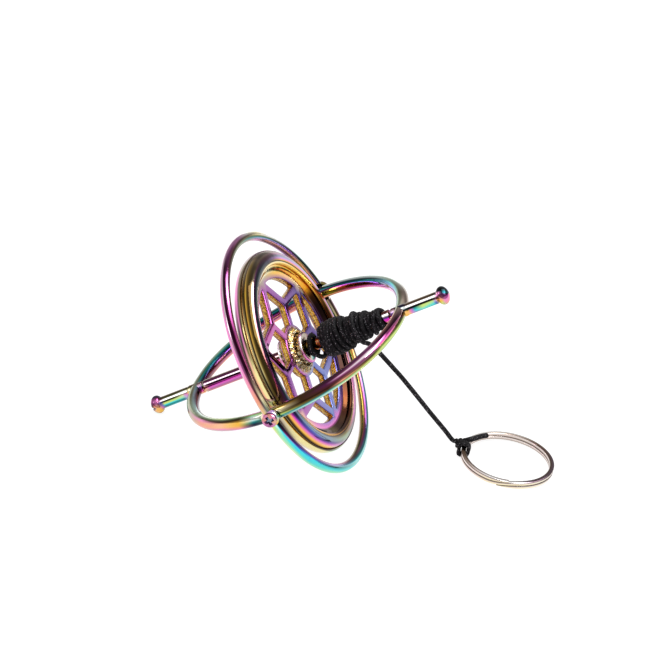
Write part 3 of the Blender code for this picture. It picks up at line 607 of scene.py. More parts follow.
def cup(name, node, lower):
    profile = [(0, 27.6), (0.9, CUP_FACE + 0.05), (1.0, CUP_FACE)]
    profile += arc((CUP_R - CUP_EDGE, CUP_FACE + CUP_EDGE), CUP_EDGE, -90, 0, 5)
    points, faces = turned([*profile, (CUP_R, 27.0), (CUP_R, CUP_END), (0, CUP_END)], 72)
    colours = striped(CUP_FILM, 180 - azimuth(points) if lower else azimuth(points))
    if lower:
        points = points * (-1, 1, -1)
    make(name, (points, faces), "cage", node, [BRASS], colours)


# Rotor

# Bands over the rim's section: 0 faces outward and 90 is the crest towards the plain post.
# The bands hold the plating's hues with painted light in them: the darkest bands (ink, sepia, bark) are painted
# reflections of the dark studio, and the pale stone and cream bands painted reflections of bright surroundings.
RIM_FILM_AND_REFLECTIONS = {
    10: "-160 umber -100 gold -60 pink -30 violet 0 teal 20 seafoam 45 steel "
        "68 navy 84 mauve 92 pink 100 straw 104 umber 109:130 cocoa",
    36: "-160 umber -100 gold -60 mauve -30 violet 0 teal 30 seafoam 66 steel 80:92 mauve 100 pink 104:130 bark",
    60: "-160 umber -100 peach -60 pink -30 violet 0 teal 30 mint 66 steel 80 lilac 92 mauve 100 salmon 104:130 bark",
    86: "-160 umber -100 peach -60 pink -30 violet 0 teal 30 mint 66 steel 80:92 mauve 99 gold 104 bark 110:130 cocoa",
    104: "-160 umber -100 mint -60 aqua -30 lilac 0 seafoam 30 stone 66 steel "
        "82 lilac 91 pink 98 gold 103 bark 107 amber 117:130 gold",
    145: "-160 umber -100 mint -60 aqua -30 lilac 0 seafoam 30 stone 50 taupe 64 mauve "
        "76 steel 86 lilac 91 pink 98 gold 103 bark 107 cream 117:130 gold",
    165: "-160 umber -100 mint -60 blush -15 lilac 15 stone 32 taupe 46 umber 58 taupe "
        "70 rosewood 82 plum 90:97 navy 104 umber 108 cream 130 gold",
    182: "-160 umber -100 mint -60 blush -30 pink -15:8 stone 24 taupe 34 bronze "
        "46:57 sepia 60:63 umber 67 plum 83:97 ink 105 stone 117:130 cream",
    205: "-160 umber -90 violet -60:-20 pink -10 stone 2 bronze 12 umber 20 sepia 26 gold 31 bronze "
        "38 umber 47:55 sepia 58:65 stone 69 plum 83:98 ink 105 taupe 117 stone 130 cream",
    230: "-160 umber -90 violet -60 mulberry -40:-30 bark -20 pink -10 umber -3:12 straw 21 bark 27 gold "
        "33 bronze 40:56 sepia 59:63 taupe 67 plum 83:98 ink 105 mauve 117 pink 130 stone",
    250: "-160 umber -90 violet -60:-32 bark -22 peach -10:12 straw 21 bark 27 straw "
        "33 bronze 40:56 sepia 59:63 rosewood 67 plum 83:98 ink 105 violet 130 pink",
    266: "-160 umber -90 plum -60:-32 bark -22 salmon -10:12 straw 21 bark "
        "32 bronze 40 bark 56 umber 70 plum 83:98 ink 105 violet 130 peach",
    280: "-160 umber -90 plum -60:-20 bark -8 stone 14 straw 27 bark 36 gold 44 salmon "
        "52 magenta 60 violet 68 navy 84 steel 94 ink 101 umber 106 salmon 130 peach",
    296: "-160 umber -90 plum -60 taupe -32 stone -10:14 straw 27 bark 37 gold 45 salmon "
        "53 orchid 62 violet 72 indigo 82:94 steel 101 umber 105 gold 117:130 peach",
    320: "-160 umber -90 pink -60 stone -32 blush -10:14 straw 27 umber 37 gold 45 peach "
        "54 orchid 64 violet 74:90 steel 99 umber 104 gold 110 brass 118 umber 130 cocoa",
    345: "-160 umber -90 pink -60 peach -30 mint 0 cyan 30 mint 50 lilac "
        "62:78 sage 90 olive 99 umber 104 brass 110:130 cocoa",
}
GROOVE, SEAM = (22.3, 1.3, 0.03), (103.5, 1.2, 0.07)  # place on the section, width and depth

# Bands round the parts of the casting and the sleeve, and over the height of the cut walls.
DISH_FILM = (
    "0:20 cocoa 40:92 bark 100 cocoa 106 amber 116:145 gold 165:200 cream 225 stone 250 pink 270:305 peach 312 amber "
    "317:330 cocoa 338 bronze 345 cocoa"
)
BORDER_FILM = (
    "0 orchid 30:60 violet 88 plum 100 taupe 112 stone 130 peach 150 gold 172 stone 190 taupe 215 mauve 240:270 pink "
    "285:306 peach 318 pink 335 orchid"
)
FACE_FILM = "0:30 periwinkle 60:110 violet 150 amethyst 200:240 orchid 275 amethyst 310 orchid 340 periwinkle"
BOSS_FILM = (
    "0 straw 20 steel 40 gold 60 frost 80 brass 100 gold 120 sage 140 gold 160 umber 180 silver 200 gold 215 bronze "
    "230 gold 245 frost 260 umber 272 gold 288 steel 305 amber 325 olive 345 silver"
)
# The wall stripes run along each cut wall as painted reflections: light straw, gold and amber near the middle of the
# wall and dark bark, cocoa and plum towards its edges.
WALL_STRIPES = (
    "-90 bark -72 cocoa -64 gold -48 amber -36 bronze -26 amber -8 straw 4 gold 14 amber 24 brass 34 gold 48 amber "
    "58 cocoa 74:90 plum"
)
# The hub face's teal bands are a painted reflection and its ink band painted shade from the cord.
HUB_FACE_FILM_AND_REFLECTIONS = (
    "0 teal 30 aqua 60 pink 100 mauve 140:190 stone 215 taupe 240 ink 262 teal 285 stone 310 salmon 335 seafoam"
)
# The white and blush bands round the hub's edge are a painted highlight.
HUB_EDGE_FILM_AND_HIGHLIGHT = "0 pink 60 mauve 120:170 plum 200 blush 240 white 265:300 pink 330 orchid"


def notch(degrees, place, width):
    return np.exp(-(((degrees - place) / width) ** 2))


def rim():
    # closer steps where the groove and the seam are
    spans = ((-117, 19, 60), (19.6, 25, 12), (26, 99, 36), (100, 107, 12), (109, 117, 5))
    degrees = np.concatenate([np.linspace(*span) for span in spans])
    reach = RIM_ARC - sum(depth * notch(degrees, place, width) for place, width, depth in (GROOVE, SEAM))
    profile = list(zip(RIM_R + reach * np.cos(np.radians(degrees)), reach * np.sin(np.radians(degrees))))
    lip = [(21.55, 2.42), (21.52, 2.3), (21.56, 2.1), (21.7, 1.98), (22.0, 1.95), (RIM_BORE, 1.95)]
    profile += lip + [(r, -z) for r, z in reversed(lip)]
    points, faces = turned(profile, 300, closed=True)
    phi = np.degrees(np.arctan2(points[:, 2], np.hypot(points[:, 0], points[:, 1]) - RIM_R))
    line = notch(phi, *GROOVE[:2])[:, None]
    colours = painted(RIM_FILM_AND_REFLECTIONS, azimuth(points), phi, 360) * (1 - line) + SHADES["black"] * line
    make("rotor_rim_turned", (points, faces), "rotor", "rotor_rim", [FILM_RIM], colours)


def polar(radius, angle):
    return Vector((radius * math.cos(angle), radius * math.sin(angle)))


def offset_line(start, end, distance):
    along = (end - start).normalized()
    return start + Vector((-along.y, along.x)) * distance, along


def crossing(p, direction, q, other):
    across = direction[0] * other[1] - direction[1] * other[0]
    along = ((q[0] - p[0]) * other[1] - (q[1] - p[1]) * other[0]) / across
    return Vector((p[0] + along * direction[0], p[1] + along * direction[1]))


def on_circle(line, radius):
    point, along = line
    half = point.dot(along)
    return point + along * (-half + math.sqrt(half * half - point.dot(point) + radius * radius))


def arc_between(radius, first, last, count):
    start, end = (math.atan2(p.y, p.x) for p in (first, last))
    return [polar(radius, start + (end - start) * i / count) for i in range(count + 1)]


def softened(outline, radius=0.75, steps=6):
    """The outline with its sharp corners rounded, as dense points."""
    result = []
    count = len(outline)
    for i, corner in enumerate(outline):
        before, after = outline[i - 1] - corner, outline[(i + 1) % count] - corner
        bend = math.pi - before.angle(after)
        if bend < math.radians(25):
            result.append(corner)
            continue
        back = min(radius * math.tan(bend / 2), 0.45 * before.length, 0.45 * after.length)
        start, end = corner + before.normalized() * back, corner + after.normalized() * back
        for k in range(steps + 1):
            t = k / steps
            result.append(start * (1 - t) ** 2 + corner * 2 * t * (1 - t) + end * t * t)
    return result


def web_openings():
    """Outlines of the cell between two spokes and of the wedge in a spoke's fork."""
    half_pitch = math.pi / SPOKES
    fork, next_fork = polar(FORK_R, 0), polar(FORK_R, 2 * half_pitch)
    tip, low_tip = polar(WEB_HOLE_R + 0.6, half_pitch), polar(WEB_HOLE_R + 0.6, -half_pitch)
    stem = offset_line(Vector((0, 0)), fork, STEM_WIDTH / 2)
    next_stem = offset_line(Vector((0, 0)), next_fork, -STEM_WIDTH / 2)
    arm = offset_line(fork, tip, ARM_WIDTH / 2)
    next_arm = offset_line(next_fork, tip, -ARM_WIDTH / 2)
    cell = [crossing(*stem, *arm), crossing(*arm, *next_arm), crossing(*next_arm, *next_stem)]
    cell += arc_between(BOSS_R, on_circle(next_stem, BOSS_R), on_circle(stem, BOSS_R), 10)
    upper, lower = offset_line(fork, tip, -ARM_WIDTH / 2), offset_line(fork, low_tip, ARM_WIDTH / 2)
    wedge = [crossing(*upper, *lower)]
    wedge += arc_between(WEB_HOLE_R, on_circle(lower, WEB_HOLE_R), on_circle(upper, WEB_HOLE_R), 14)
    return softened(cell), softened(wedge)


def web():
    """The spoked casting: bevelled openings, a raw lumpy boss and a dished border."""
    bm = bmesh.new()
    kind = bm.faces.layers.int.new("kind")
    rims = ([], [])

    def wall(loops, cut=()):
        """Quads between rows of vertices. The first and last row edge the casting's two faces."""
        for row, (a, b) in enumerate(zip(loops, loops[1:])):
            for i in range(len(a)):
                j = (i + 1) % len(a)
                bm.faces.new((a[i], a[j], b[j], b[i]))[kind] = int(row in cut)
        for edge, loop in zip(rims, (loops[0], loops[-1])):
            edge.append(loop)

    # each row of an opening's wall: how far outside the outline, and the height
    steps = np.radians((0, 22.5, 45, 67.5, 90))
    bevel = [(WEB_BEVEL * (1 - math.sin(a)), WEB_HALF - WEB_BEVEL * (1 - math.cos(a))) for a in steps]
    straight = WEB_HALF - WEB_BEVEL
    walls = bevel + [(-0.12 * (1 - (z / straight) ** 2), z) for z in np.linspace(0.8, -0.8, 9) * straight]
    walls += [(d, -z) for d, z in reversed(bevel)]
    for spoke in range(SPOKES):
        turn = Matrix.Rotation(SPOKE_START + spoke * 2 * math.pi / SPOKES, 2)
        for outline in web_openings():
            outline = [turn @ p for p in outline]
            count = len(outline)
            area = sum(outline[i - 1].cross(outline[i]) for i in range(count))
            normals = []
            for i in range(count):
                along = (outline[(i + 1) % count] - outline[i - 1]).normalized()
                normals.append(Vector((along.y, -along.x)) * (1 if area > 0 else -1))
            loops = []
            for out, height in walls:
                loops.append([bm.verts.new((*(p + n * out), height)) for p, n in zip(outline, normals)])
            wall(loops, range(3, len(loops) - 4))
    boss = [(6.15, WEB_HALF), (5.8, 0.93), (5.4, 1.05), (5.0, 1.35), (4.75, 1.6), (4.5, 1.75), (4.3, 1.7), (4.2, 1.55)]
    dish = [
        (19.75, WEB_HALF), (19.95, 0.93), (20.3, 1.06), (20.8, 1.36), (21.3, 1.7), (21.7, 1.85), (22.1, 1.85),
        (22.3, 1.7), (WEB_EDGE_R, 1.45),
    ]
    segments = 240
    for profile in (boss, dish):
        loops = []
        for radius, height in profile + [(r, -z) for r, z in reversed(profile)]:
            loops.append([bm.verts.new((*polar(radius, 2 * math.pi * i / segments), height)) for i in range(segments)])
        wall(loops)
    for rim_loops in rims:
        edges = []
        for loop in rim_loops:
            for i in range(len(loop)):
                pair = (loop[i - 1], loop[i])
                edges.append(bm.edges.get(pair) or bm.edges.new(pair))
        bmesh.ops.triangle_fill(bm, edges=edges, use_beauty=True)
    bm.verts.index_update()
    points = np.array([v.co[:] for v in bm.verts])
    faces = [[v.index for v in f.verts] for f in bm.faces]
    kinds = [f[kind] for f in bm.faces]
    bm.free()

    theta, radius, high = azimuth(points), np.hypot(points[:, 0], points[:, 1]), np.abs(points[:, 2])
    colours = striped(BOSS_FILM, theta + 150 * crumple(points)) * 0.85
    for low, top, layer in (
        (5.3, BOSS_R, striped(FACE_FILM, theta + 6 * np.sin(radius)) * 0.72),
        (18.5, 19.3, striped(BORDER_FILM, theta)),
        (19.85, 20.3, striped(DISH_FILM, theta)),
    ):
        share = smoothstep((radius - low) / (top - low))[:, None]
        colours = colours * (1 - share) + layer * share
    cut = (high < 0.66) & (radius < 19) & (radius > 6.2)
    colours[cut] = bands(WALL_STRIPES, points[cut, 2] * 100 + 14 * np.sin(theta[cut] * 0.12 + radius[cut])) ** 2
    raw = (radius < 5.7) & (radius > 4.25) & (high > 0.5)
    for i in np.flatnonzero(raw):
        p = Vector(points[i])
        points[i] = p + (noise.noise_vector(p * 1.2) * 0.36 + noise.noise_vector(p * 2.8) * 0.15)
    kinds = [2 if all(raw[i] for i in f) else k for f, k in zip(faces, kinds)]
    make(
        "rotor_web_cast", (points, faces), "rotor", "rotor_web",
        [FILM_CAST, FILM_WALL, FILM_RAW], colours, kinds=kinds, sharp=50,
    )


def hub():
    """A cast sleeve: a lumpy barrel with a turned face at each end."""
    inner, top = HUB_R - HUB_EDGE, HUB_HALF - HUB_EDGE
    profile = [(r, -HUB_HALF) for r in (1.85, 2.2, 3.0)] + arc((inner, -top), HUB_EDGE, -90, 0, 5)
    profile += [(HUB_R, z) for z in np.linspace(-2.8, 2.8, 30)] + arc((inner, top), HUB_EDGE, 0, 90, 5)
    for radius, sunk in ((3.3, 0), (3.2, 0.07), (2.4, 0.07), (2.3, 0), (1.95, 0), (1.85, 0.1)):
        profile.append((radius, HUB_HALF - sunk))
    points, faces = turned(profile, 160, closed=True)
    out, theta = np.hypot(points[:, 0], points[:, 1]), azimuth(points)
    barrel = (out > HUB_R - 0.01) & (np.abs(points[:, 2]) < 2.75)
    for i in np.flatnonzero(barrel):
        p = Vector(points[i])
        lump = 0.34 * noise.noise(p) + 0.2 * noise.noise(p * 2.4) - 0.16
        points[i] = p + Vector((p.x, p.y, 0)).normalized() * lump
    blend = np.clip((out - 3.35) / 0.2, 0, 1)[:, None]
    colours = striped(HUB_FACE_FILM_AND_REFLECTIONS, theta) * (1 - blend) + striped(HUB_EDGE_FILM_AND_HIGHLIGHT, theta) * blend
    side = striped(BOSS_FILM, theta + 30 + 25 * points[:, 2] + 150 * crumple(points))
    colours[barrel] = side[barrel] * 0.8
    kinds = [int(all(barrel[i] for i in f)) for f in faces]
    make(
        "rotor_hub_sleeve", (points, faces), "rotor", "rotor_hub", [BRASS, FILM_RAW], colours,
        kinds=kinds,
    )


# Bands round the axle by height: the pale stripe near 220 to 240 is a painted highlight, and the wine band and the
# other darkest bands painted reflections of the dark studio.
AXLE_FILM_AND_REFLECTIONS = {
    -26: "165:181 stone 187 rosewood 213 plum 218:240 blush 250 salmon 275 peach 315 stone 20 peach 80 mint 120 lilac",
    -24.5: "165:181 stone 186 rosewood 212:217 plum 220:231 blush 234:247 wine 252 mulberry "
        "258 magenta 276 orchid 290 mauve 335 salmon 20 peach 80 mint 120 lilac",
    -6: "165 pink 181 stone 186 rosewood 212:217 plum 220:231 blush 234:247 wine 252 mulberry "
        "258 magenta 276 orchid 290 mauve 335 salmon 20 gold 80 mint 120 lilac",
    0: "165 brass 195 umber 215 brass 235 gold 255 brass 275 gold 315 umber 20 gold 80 brass 120 umber",
    5: "165 taupe 195 umber 215 brass 232 straw 245 gold 270 cocoa "
        "290 amber 320 blush 350 white 20 gold 80 brass 120 umber",
    22: "165 taupe 190 cocoa 212 rosewood 220:240 white 246 plum 255 violet "
        "266:285 magenta 300 salmon 330 olive 20 gold 80 mint 120 lilac",
    26: "165 taupe 190 cocoa 212 rosewood 220:240 white 246 plum 255 violet "
        "266:285 magenta 300 salmon 330 olive 20 gold 80 mint 120 lilac",
}


def axle():
    end = arc((AXLE_R - AXLE_EDGE, AXLE_HALF - AXLE_EDGE), AXLE_EDGE, 0, 90, 4)
    end += [(0.66, AXLE_HALF), (0.56, AXLE_HALF + 0.12), (0.12, PIVOT_TIP - 0.08), (0, PIVOT_TIP)]
    body = [(AXLE_R, z) for z in np.linspace(-25.6, 25.6, 90)]
    points, faces = turned([(r, -z) for r, z in reversed(end)] + body + end, 80)
    colours = painted(AXLE_FILM_AND_REFLECTIONS, points[:, 2], azimuth(points))
    make("axle_turned", (points, faces), "rotor", "axle", [FILM_POST], colours)


# Cord

def smooth(route, spacing):
    """Points a fixed distance apart on the smooth curve through the route, and the curve's length."""
    route = np.array([tuple(p) for p in route], float)
    ends = np.concatenate([[2 * route[0] - route[1]], route, [2 * route[-1] - route[-2]]])
    t = np.linspace(0, 1, 16, endpoint=False)[:, None]
    fine = []
    for a, b, c, d in zip(ends, ends[1:], ends[2:], ends[3:]):
        square, cube = 2 * a - 5 * b + 4 * c - d, 3 * b - a - 3 * c + d
        fine.append(0.5 * (2 * b + (c - a) * t + square * t**2 + cube * t**3))
    fine = np.concatenate([*fine, route[-1:]])
    lengths = travelled(fine)
    even = np.linspace(0, lengths[-1], max(3, round(lengths[-1] / spacing)) + 1)
    return np.stack([np.interp(even, lengths, fine[:, k]) for k in range(3)], -1), lengths[-1]


def travelled(points):
    return np.concatenate([[0], np.cumsum(np.linalg.norm(np.diff(points, axis=0), axis=1))])


def braided(points, radius, sides=18, strands=4, pitch=2.1, relief=0.07, cap=0.8):
    """A tube whose surface rises in two crossing families of strands. Each end rounds off over cap radii."""
    tangents = np.gradient(points, axis=0)
    tangents /= np.linalg.norm(tangents, axis=1)[:, None]
    side = np.cross(tangents[0], (0.3, 0.5, 0.8))
    across = []
    for tangent in tangents:
        side = side - tangent * side.dot(tangent)
        side /= np.linalg.norm(side)
        across.append(side.copy())
    u = np.array(across)
    v = np.cross(tangents, u)
    run = travelled(points)
    angle = np.linspace(0, 2 * math.pi, sides, endpoint=False)[None, :]
    phase = 2 * math.pi * run[:, None] / pitch
    over = 0.5 + 0.5 * np.maximum(np.cos(strands * angle + phase), np.cos(strands * angle - phase))
    reach = radius * (1 - relief + relief * over * 1.6)
    for distance in (run, run[-1] - run):
        t = np.clip(distance / (cap * radius), 0, 1)
        reach = reach * np.sqrt(np.clip(1 - (1 - t) ** 2, 0.02, 1))[:, None]
    round_tube = np.cos(angle)[..., None] * u[:, None] + np.sin(angle)[..., None] * v[:, None]
    ring = points[:, None] + reach[..., None] * round_tube
    return (ring.reshape(-1, 3), tube_faces(len(points), sides)), over.ravel()


def to_world(points):
    m = np.array(LEAN)
    return points @ m[:3, :3].T + m[:3, 3] / MM


# The winding as (turns so far, height on the axle, radius of the cord's middle).
WINDING = [
    (0.0, 5.4, 2.15), (0.2, 4.3, 2.3), (0.45, 4.6, 2.4), (0.7, 5.0, 2.3), (0.95, 5.2, 2.4), (1.2, 5.0, 2.8),
    (1.45, 6.4, 3.55), (1.7, 7.5, 2.9), (1.95, 8.2, 2.3), (2.3, 8.4, 2.14), (3.3, 9.3, 2.14), (16.4, 24.0, 2.1),
    (16.8, 23.7, 2.15), (17.2, 21.9, 2.55), (17.6, 20.1, 2.9), (18.4, 19.2, 2.9), (19.6, 17.9, 2.95),
    (27.8, 8.4, 3.2), (28.3, 8.2, 3.5), (28.9, 8.8, 3.8), (30.6, 10.4, 3.95), (32.4, 12.6, 3.95),
    (33.8, 14.2, 3.75), (34.3, 14.7, 3.3), (34.5, 14.8, 3.0),
]
WINDING_START = math.radians(200)
WINDING_SIDES = 14


def winding():
    turns, heights, radii = np.array(WINDING).T
    t = np.linspace(0, turns[-1], int(turns[-1] * 18) + 1)
    whole = np.floor(t).astype(int)
    part = t - whole

    def uneven():
        """A random value for each turn, blended from turn to turn."""
        values = np.array([random.uniform(-1, 1) for _ in range(whole[-1] + 3)])
        return values[whole] * (1 - part) + values[whole + 1] * part

    z = np.interp(t, turns, heights) + 0.16 * uneven()
    r = np.interp(t, turns, radii) + 0.07 * np.abs(uneven())
    # the outer layer strays more
    outer = np.clip((r - 2.7) / 0.9, 0, 1)
    z += outer * 0.4 * np.sin(2 * math.pi * t + 0.9 * t)
    r += outer * 0.1 * np.sin(4 * math.pi * t + 2.1 * t)
    angle = 2 * math.pi * t + WINDING_START
    coarse = np.stack([r * np.cos(angle), r * np.sin(angle), z], -1)
    points, length = smooth(coarse, 0.17)
    shape, strand = braided(points, CORD_R, sides=WINDING_SIDES)
    # fibres catch the light only on the outside of each turn
    middle = np.repeat(np.hypot(points[:, 0], points[:, 1]), WINDING_SIDES)
    proud = np.clip((np.hypot(shape[0][:, 0], shape[0][:, 1]) - middle) / CORD_R, 0, 1)
    # The strand values are painted: sheen on the outside of each turn and painted shade in the crevices between turns.
    strand = strand * (0.02 + 1.3 * proud**5)
    piece = make("wound_cord", shape, "rotor", "cord_winding", [CORD], sharp=180, strand=strand)


def loose_cord(name, node, body, route, radius, spacing):
    points, length = smooth(route, spacing)
    shape, strand = braided(points, radius)
    place = Matrix.Identity(4)
    return make(name, shape, body, node, [CORD], place=place, sharp=180, strand=strand), length


def from_lean(radius, degrees, height):
    a = math.radians(degrees)
    return to_world(np.array([[radius * math.cos(a), radius * math.sin(a), height]]))[0]


def knot_route():
    """A closed trefoil, squeezed to the knot's size."""
    route = []
    for i in range(25):
        t = 2 * math.pi * i / 25 + 0.4
        knot = (math.sin(t) + 2 * math.sin(2 * t)) / 3, (math.cos(t) - 2 * math.cos(2 * t)) / 3, -0.8 * math.sin(3 * t)
        route.append(tuple(c + k * (size - 0.42) for c, k, size in zip(KNOT_CENTRE, knot, KNOT_SIZE)))
    return route + route[:1]


def hitch_route():
    """Turns round both layers of the split ring's wire."""
    turn = Matrix.Rotation(HITCH_ANGLE - LIFT_ANGLE, 4, "Z")
    bend = RING_CORNER + HITCH_GAP + HITCH_R
    wide, high = RING_WIDE / 2 - RING_CORNER, RING_HALF - RING_CORNER
    route = []
    for i in range(HITCH_TURNS * 16 + 1):
        c, s = math.cos(2 * math.pi * i / 16), math.sin(2 * math.pi * i / 16)
        out, up = bend * c + wide * max(-1, min(1, 2 * c)), bend * s + high * max(-1, min(1, 2 * s))
        along = (i / 16 - HITCH_TURNS / 2) * (2 * HITCH_R + 0.08)
        at = RING_PLACE @ (turn @ Vector((RING_R + out, along, up)) * MM)
        route.append(tuple(k / MM for k in at))
    return route


def free_cord():
    """The free stretch, which starts round and under the winding, with all that is tied to its end."""
    whole = [
        loose_cord("knot_cord", "cord_knot", "pull_ring", knot_route(), KNOT_CORD_R, 0.09)[0],
        loose_cord("hitch_cord", "cord_hitch", "pull_ring", hitch_route(), HITCH_R, 0.09)[0],
        loose_cord("tail_cord", "cord_tail", "pull_ring", TAIL_ROUTE, TAIL_R, 0.1)[0],
    ]
    route = [from_lean(3.05, -340, 16.2), from_lean(3.3, -320, 16.4), from_lean(3.5, -290, 16.7)]
    route += [from_lean(3.6 + 0.05 * k, -260 + 31 * k, 17.0 + 0.1 * k) for k in range(8)] + CORD_ROUTE
    piece, length = loose_cord("free_cord", "pull_cord", "cage", route, CORD_R, 0.1)
    path = [tuple(p * MM) for p in smooth(route, 1.2)[0]]
    split_ring()


# Bands over the flattened wire at places round the split ring: 0 faces outward and 90 up.
# The bands hold the nickel's tints with painted light in them: the white, shell and silver bands are painted
# highlights, and the umber, bark and grape bands painted reflections of the dark studio.
SPLIT_RING_FILM_AND_REFLECTIONS = {
    20: "-90 taupe -48 bark -30 shell 15 silver 34 umber 42:90 grape 138 umber 150 shell 180 silver 215 taupe",
    52: "-90 taupe -48 bark -30 shell 15 silver 34 umber 42 taupe 90:138 umber 150 shell 180 silver 215 taupe",
    78: "-90 taupe -48 bark -30:15 shell 32 umber 42:90 silver 138 taupe 146 shell 180 silver 215 taupe",
    130: "-90 taupe -48 umber -30:15 shell 30 taupe 42:90 white 138 stone 146 shell 180 silver 215 taupe",
    160: "-90 taupe -48 umber -30:15 shell 30 umber 42 silver 90 stone 138 umber 146 shell 180 silver 215 taupe",
    190: "-90 taupe -48 umber -30:15 shell 30:138 umber 146 silver 180:215 taupe",
    230: "-90 taupe -48 umber -30:15 shell 30 umber 42 shell 90:138 umber 146 silver 180:215 taupe",
    252: "-90 taupe -48 umber -30 cream 15 shell 30 umber 42 white 90 shell 138 umber 146 silver 180:215 taupe",
    288: "-90 taupe -48 umber -30 cream 15 shell 30 umber 42:90 white 138 umber 146 silver 180:215 taupe",
    310: "-90 taupe -48 umber -30 cream 15 white 30 umber 42:90 grape 138 umber 146 shell 180:215 taupe",
    345: "-90 taupe -48 umber -30 shell 15 silver 34 umber 42:90 grape 138 umber 146 silver 180:215 taupe",
}


def split_ring():
    """Two layers of flattened wire, with a long climb between them and a wedge at each end."""
    section = []
    wide, high = RING_WIDE / 2 - RING_CORNER, RING_HIGH / 2 - RING_CORNER
    for x, z, start in ((1, 1, 0), (-1, 1, 90), (-1, -1, 180), (1, -1, 270)):
        section += arc((x * wide, z * high), RING_CORNER, start, start + 90, 4)
    section = np.array(section)
    steps = 579
    turn = RING_TURNS * (np.arange(steps + 1) / steps - 0.5)

    def risen(place):
        return smoothstep(place / RING_CLIMB + 0.5)

    # each end thins against the climb beside it
    thin = np.maximum(np.where(turn < 0, risen(turn + 1), 1 - risen(turn - 1)), 0.2)
    thin[np.abs(turn) < 0.8] = 1
    away = np.where(turn < 0, -1, 1) * (1 - thin) * RING_HIGH / 2
    angle = (2 * math.pi * turn + STEP_ANGLE)[:, None]
    out = RING_R + section[None, :, 0]
    height = (RING_PITCH * (risen(turn) - 0.5) + away)[:, None] + section[None, :, 1] * thin[:, None]
    points = np.stack([out * np.cos(angle), out * np.sin(angle), height], -1).reshape(-1, 3)
    around = np.tile(azimuth(section), steps + 1)
    colours = painted(SPLIT_RING_FILM_AND_REFLECTIONS, azimuth(points) + math.degrees(LIFT_ANGLE), around, 360)
    shape = points, tube_faces(steps + 1, len(section))
    return make(
        "split_ring_wire", shape, "pull_ring", "split_ring", [NICKEL], colours, place=RING_PLACE, sharp=50
    )


cage_rings()
screw("ring_screw_near", "ring_screw_front", math.pi)
screw("ring_screw_far", "ring_screw_back", 0)
post("post_plain_turned", "post_plain", POST_PLAIN_FILM_AND_REFLECTIONS, False)
post("post_slotted_turned", "post_slotted", POST_SLOTTED_FILM_AND_REFLECTIONS, True)
cup("bearing_cup_upper", "pivot_cup_upper", False)
cup("bearing_cup_lower", "pivot_cup_lower", True)
rim()
web()
hub()
axle()
winding()
free_cord()


# Stage

FLOOR_HALF = 3.0
# Greys of what the metal reflects, from the horizon and below (0) to straight up (1).
SURROUNDINGS = ((0.0, 1.0), (0.05, 0.5), (0.3, 0.5), (0.4, 0.9), (0.8, 0.9), (1.0, 0.95))
# name, degrees round and up, distance and size in metres, and watts
LIGHTS = (("softbox", 30, 55, 0.6, (0.5, 0.42), 7.5), ("side_fill", 206, 28, 0.8, (0.2, 0.3), 0.35))


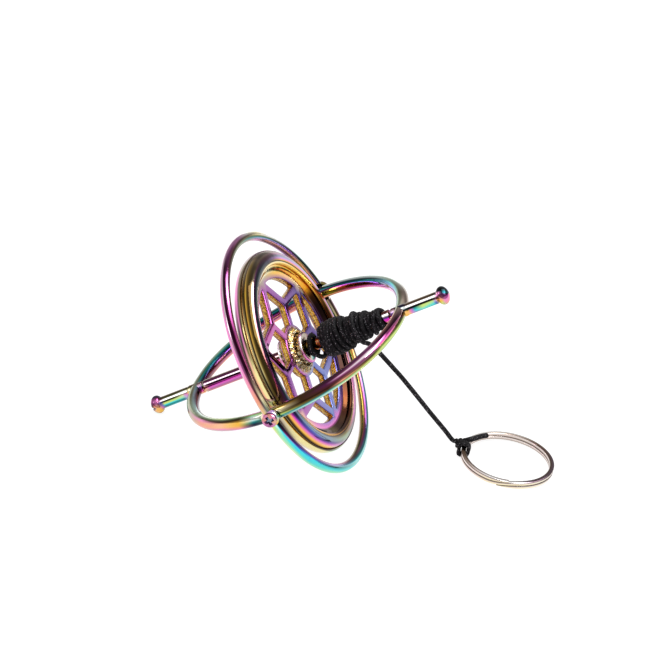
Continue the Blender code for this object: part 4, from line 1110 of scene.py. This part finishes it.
def stage():
    """A white floor, a studio of plain greys that the camera sees as white, two lights and the camera."""
    scene = bpy.context.scene
    scene.view_settings.view_transform = "Standard"
    mesh = bpy.data.meshes.new("floor")
    corners = [(x * FLOOR_HALF, y * FLOOR_HALF, 0) for x, y in ((-1, -1), (1, -1), (1, 1), (-1, 1))]
    mesh.from_pydata(corners, [], [(0, 1, 2, 3)])
    floor = bpy.data.objects.new("floor", mesh)
    scene.collection.objects.link(floor)
    white = bpy.data.materials.new("paper_floor")
    white.use_nodes = True
    shader = white.node_tree.nodes["Principled BSDF"]
    shader.inputs["Base Color"].default_value = (0.4, 0.4, 0.4, 1)
    shader.inputs["Roughness"].default_value = 1.0
    shader.inputs["Specular IOR Level"].default_value = 0.0
    shader.inputs["Emission Color"].default_value = (1, 1, 1, 1)
    shader.inputs["Emission Strength"].default_value = 0.84
    mesh.materials.append(white)

    world = bpy.data.worlds.new("studio")
    scene.world = world
    world.use_nodes = True
    tree = world.node_tree
    ground = tree.nodes["Background"]
    coordinates = tree.nodes.new("ShaderNodeTexCoord")
    split = tree.nodes.new("ShaderNodeSeparateXYZ")
    ramp = tree.nodes.new("ShaderNodeValToRGB")
    tree.links.new(coordinates.outputs["Generated"], split.inputs[0])
    tree.links.new(split.outputs["Z"], ramp.inputs["Fac"])
    while len(ramp.color_ramp.elements) < len(SURROUNDINGS):
        ramp.color_ramp.elements.new(0.5)
    for stop, (place, grey) in zip(ramp.color_ramp.elements, SURROUNDINGS):
        stop.position = place
        stop.color = (grey, grey, grey, 1)
    backdrop = tree.nodes.new("ShaderNodeBackground")
    backdrop.inputs["Color"].default_value = (1, 1, 1, 1)
    rays = tree.nodes.new("ShaderNodeLightPath")
    both = tree.nodes.new("ShaderNodeMixShader")
    tree.links.new(ramp.outputs["Color"], ground.inputs["Color"])
    tree.links.new(rays.outputs["Is Camera Ray"], both.inputs[0])
    tree.links.new(ground.outputs[0], both.inputs[1])
    tree.links.new(backdrop.outputs[0], both.inputs[2])
    tree.links.new(both.outputs[0], tree.nodes["World Output"].inputs["Surface"])

    for name, round_z, elevation, distance, size, energy in LIGHTS:
        data = bpy.data.lights.new(name, "AREA")
        data.shape = "RECTANGLE"
        data.size, data.size_y = size
        data.energy = energy
        light = bpy.data.objects.new(name, data)
        scene.collection.objects.link(light)
        a, e = math.radians(round_z), math.radians(elevation)
        spot = Vector((math.cos(e) * math.cos(a), math.cos(e) * math.sin(a), math.sin(e)))
        light.location = spot * distance
        light.rotation_euler = spot.to_track_quat("Z", "Y").to_euler()
        light.visible_diffuse = False
        light.visible_camera = False

    data = bpy.data.cameras.new("camera")
    data.lens = 138.46
    data.sensor_width = 36
    data.clip_start, data.clip_end = 0.05, 20
    camera = bpy.data.objects.new("camera", data)
    scene.collection.objects.link(camera)
    right, down, forward = (0.9763, 0.1904, 0.1025), (0.186, -0.4978, -0.8471), (-0.1103, 0.8462, -0.5214)
    turn = Matrix((right, [-k for k in down], [-k for k in forward])).transposed()
    camera.matrix_world = Matrix.Translation((0.0722, -0.5074, 0.34658)) @ turn.to_4x4()
    scene.camera = camera


stage()
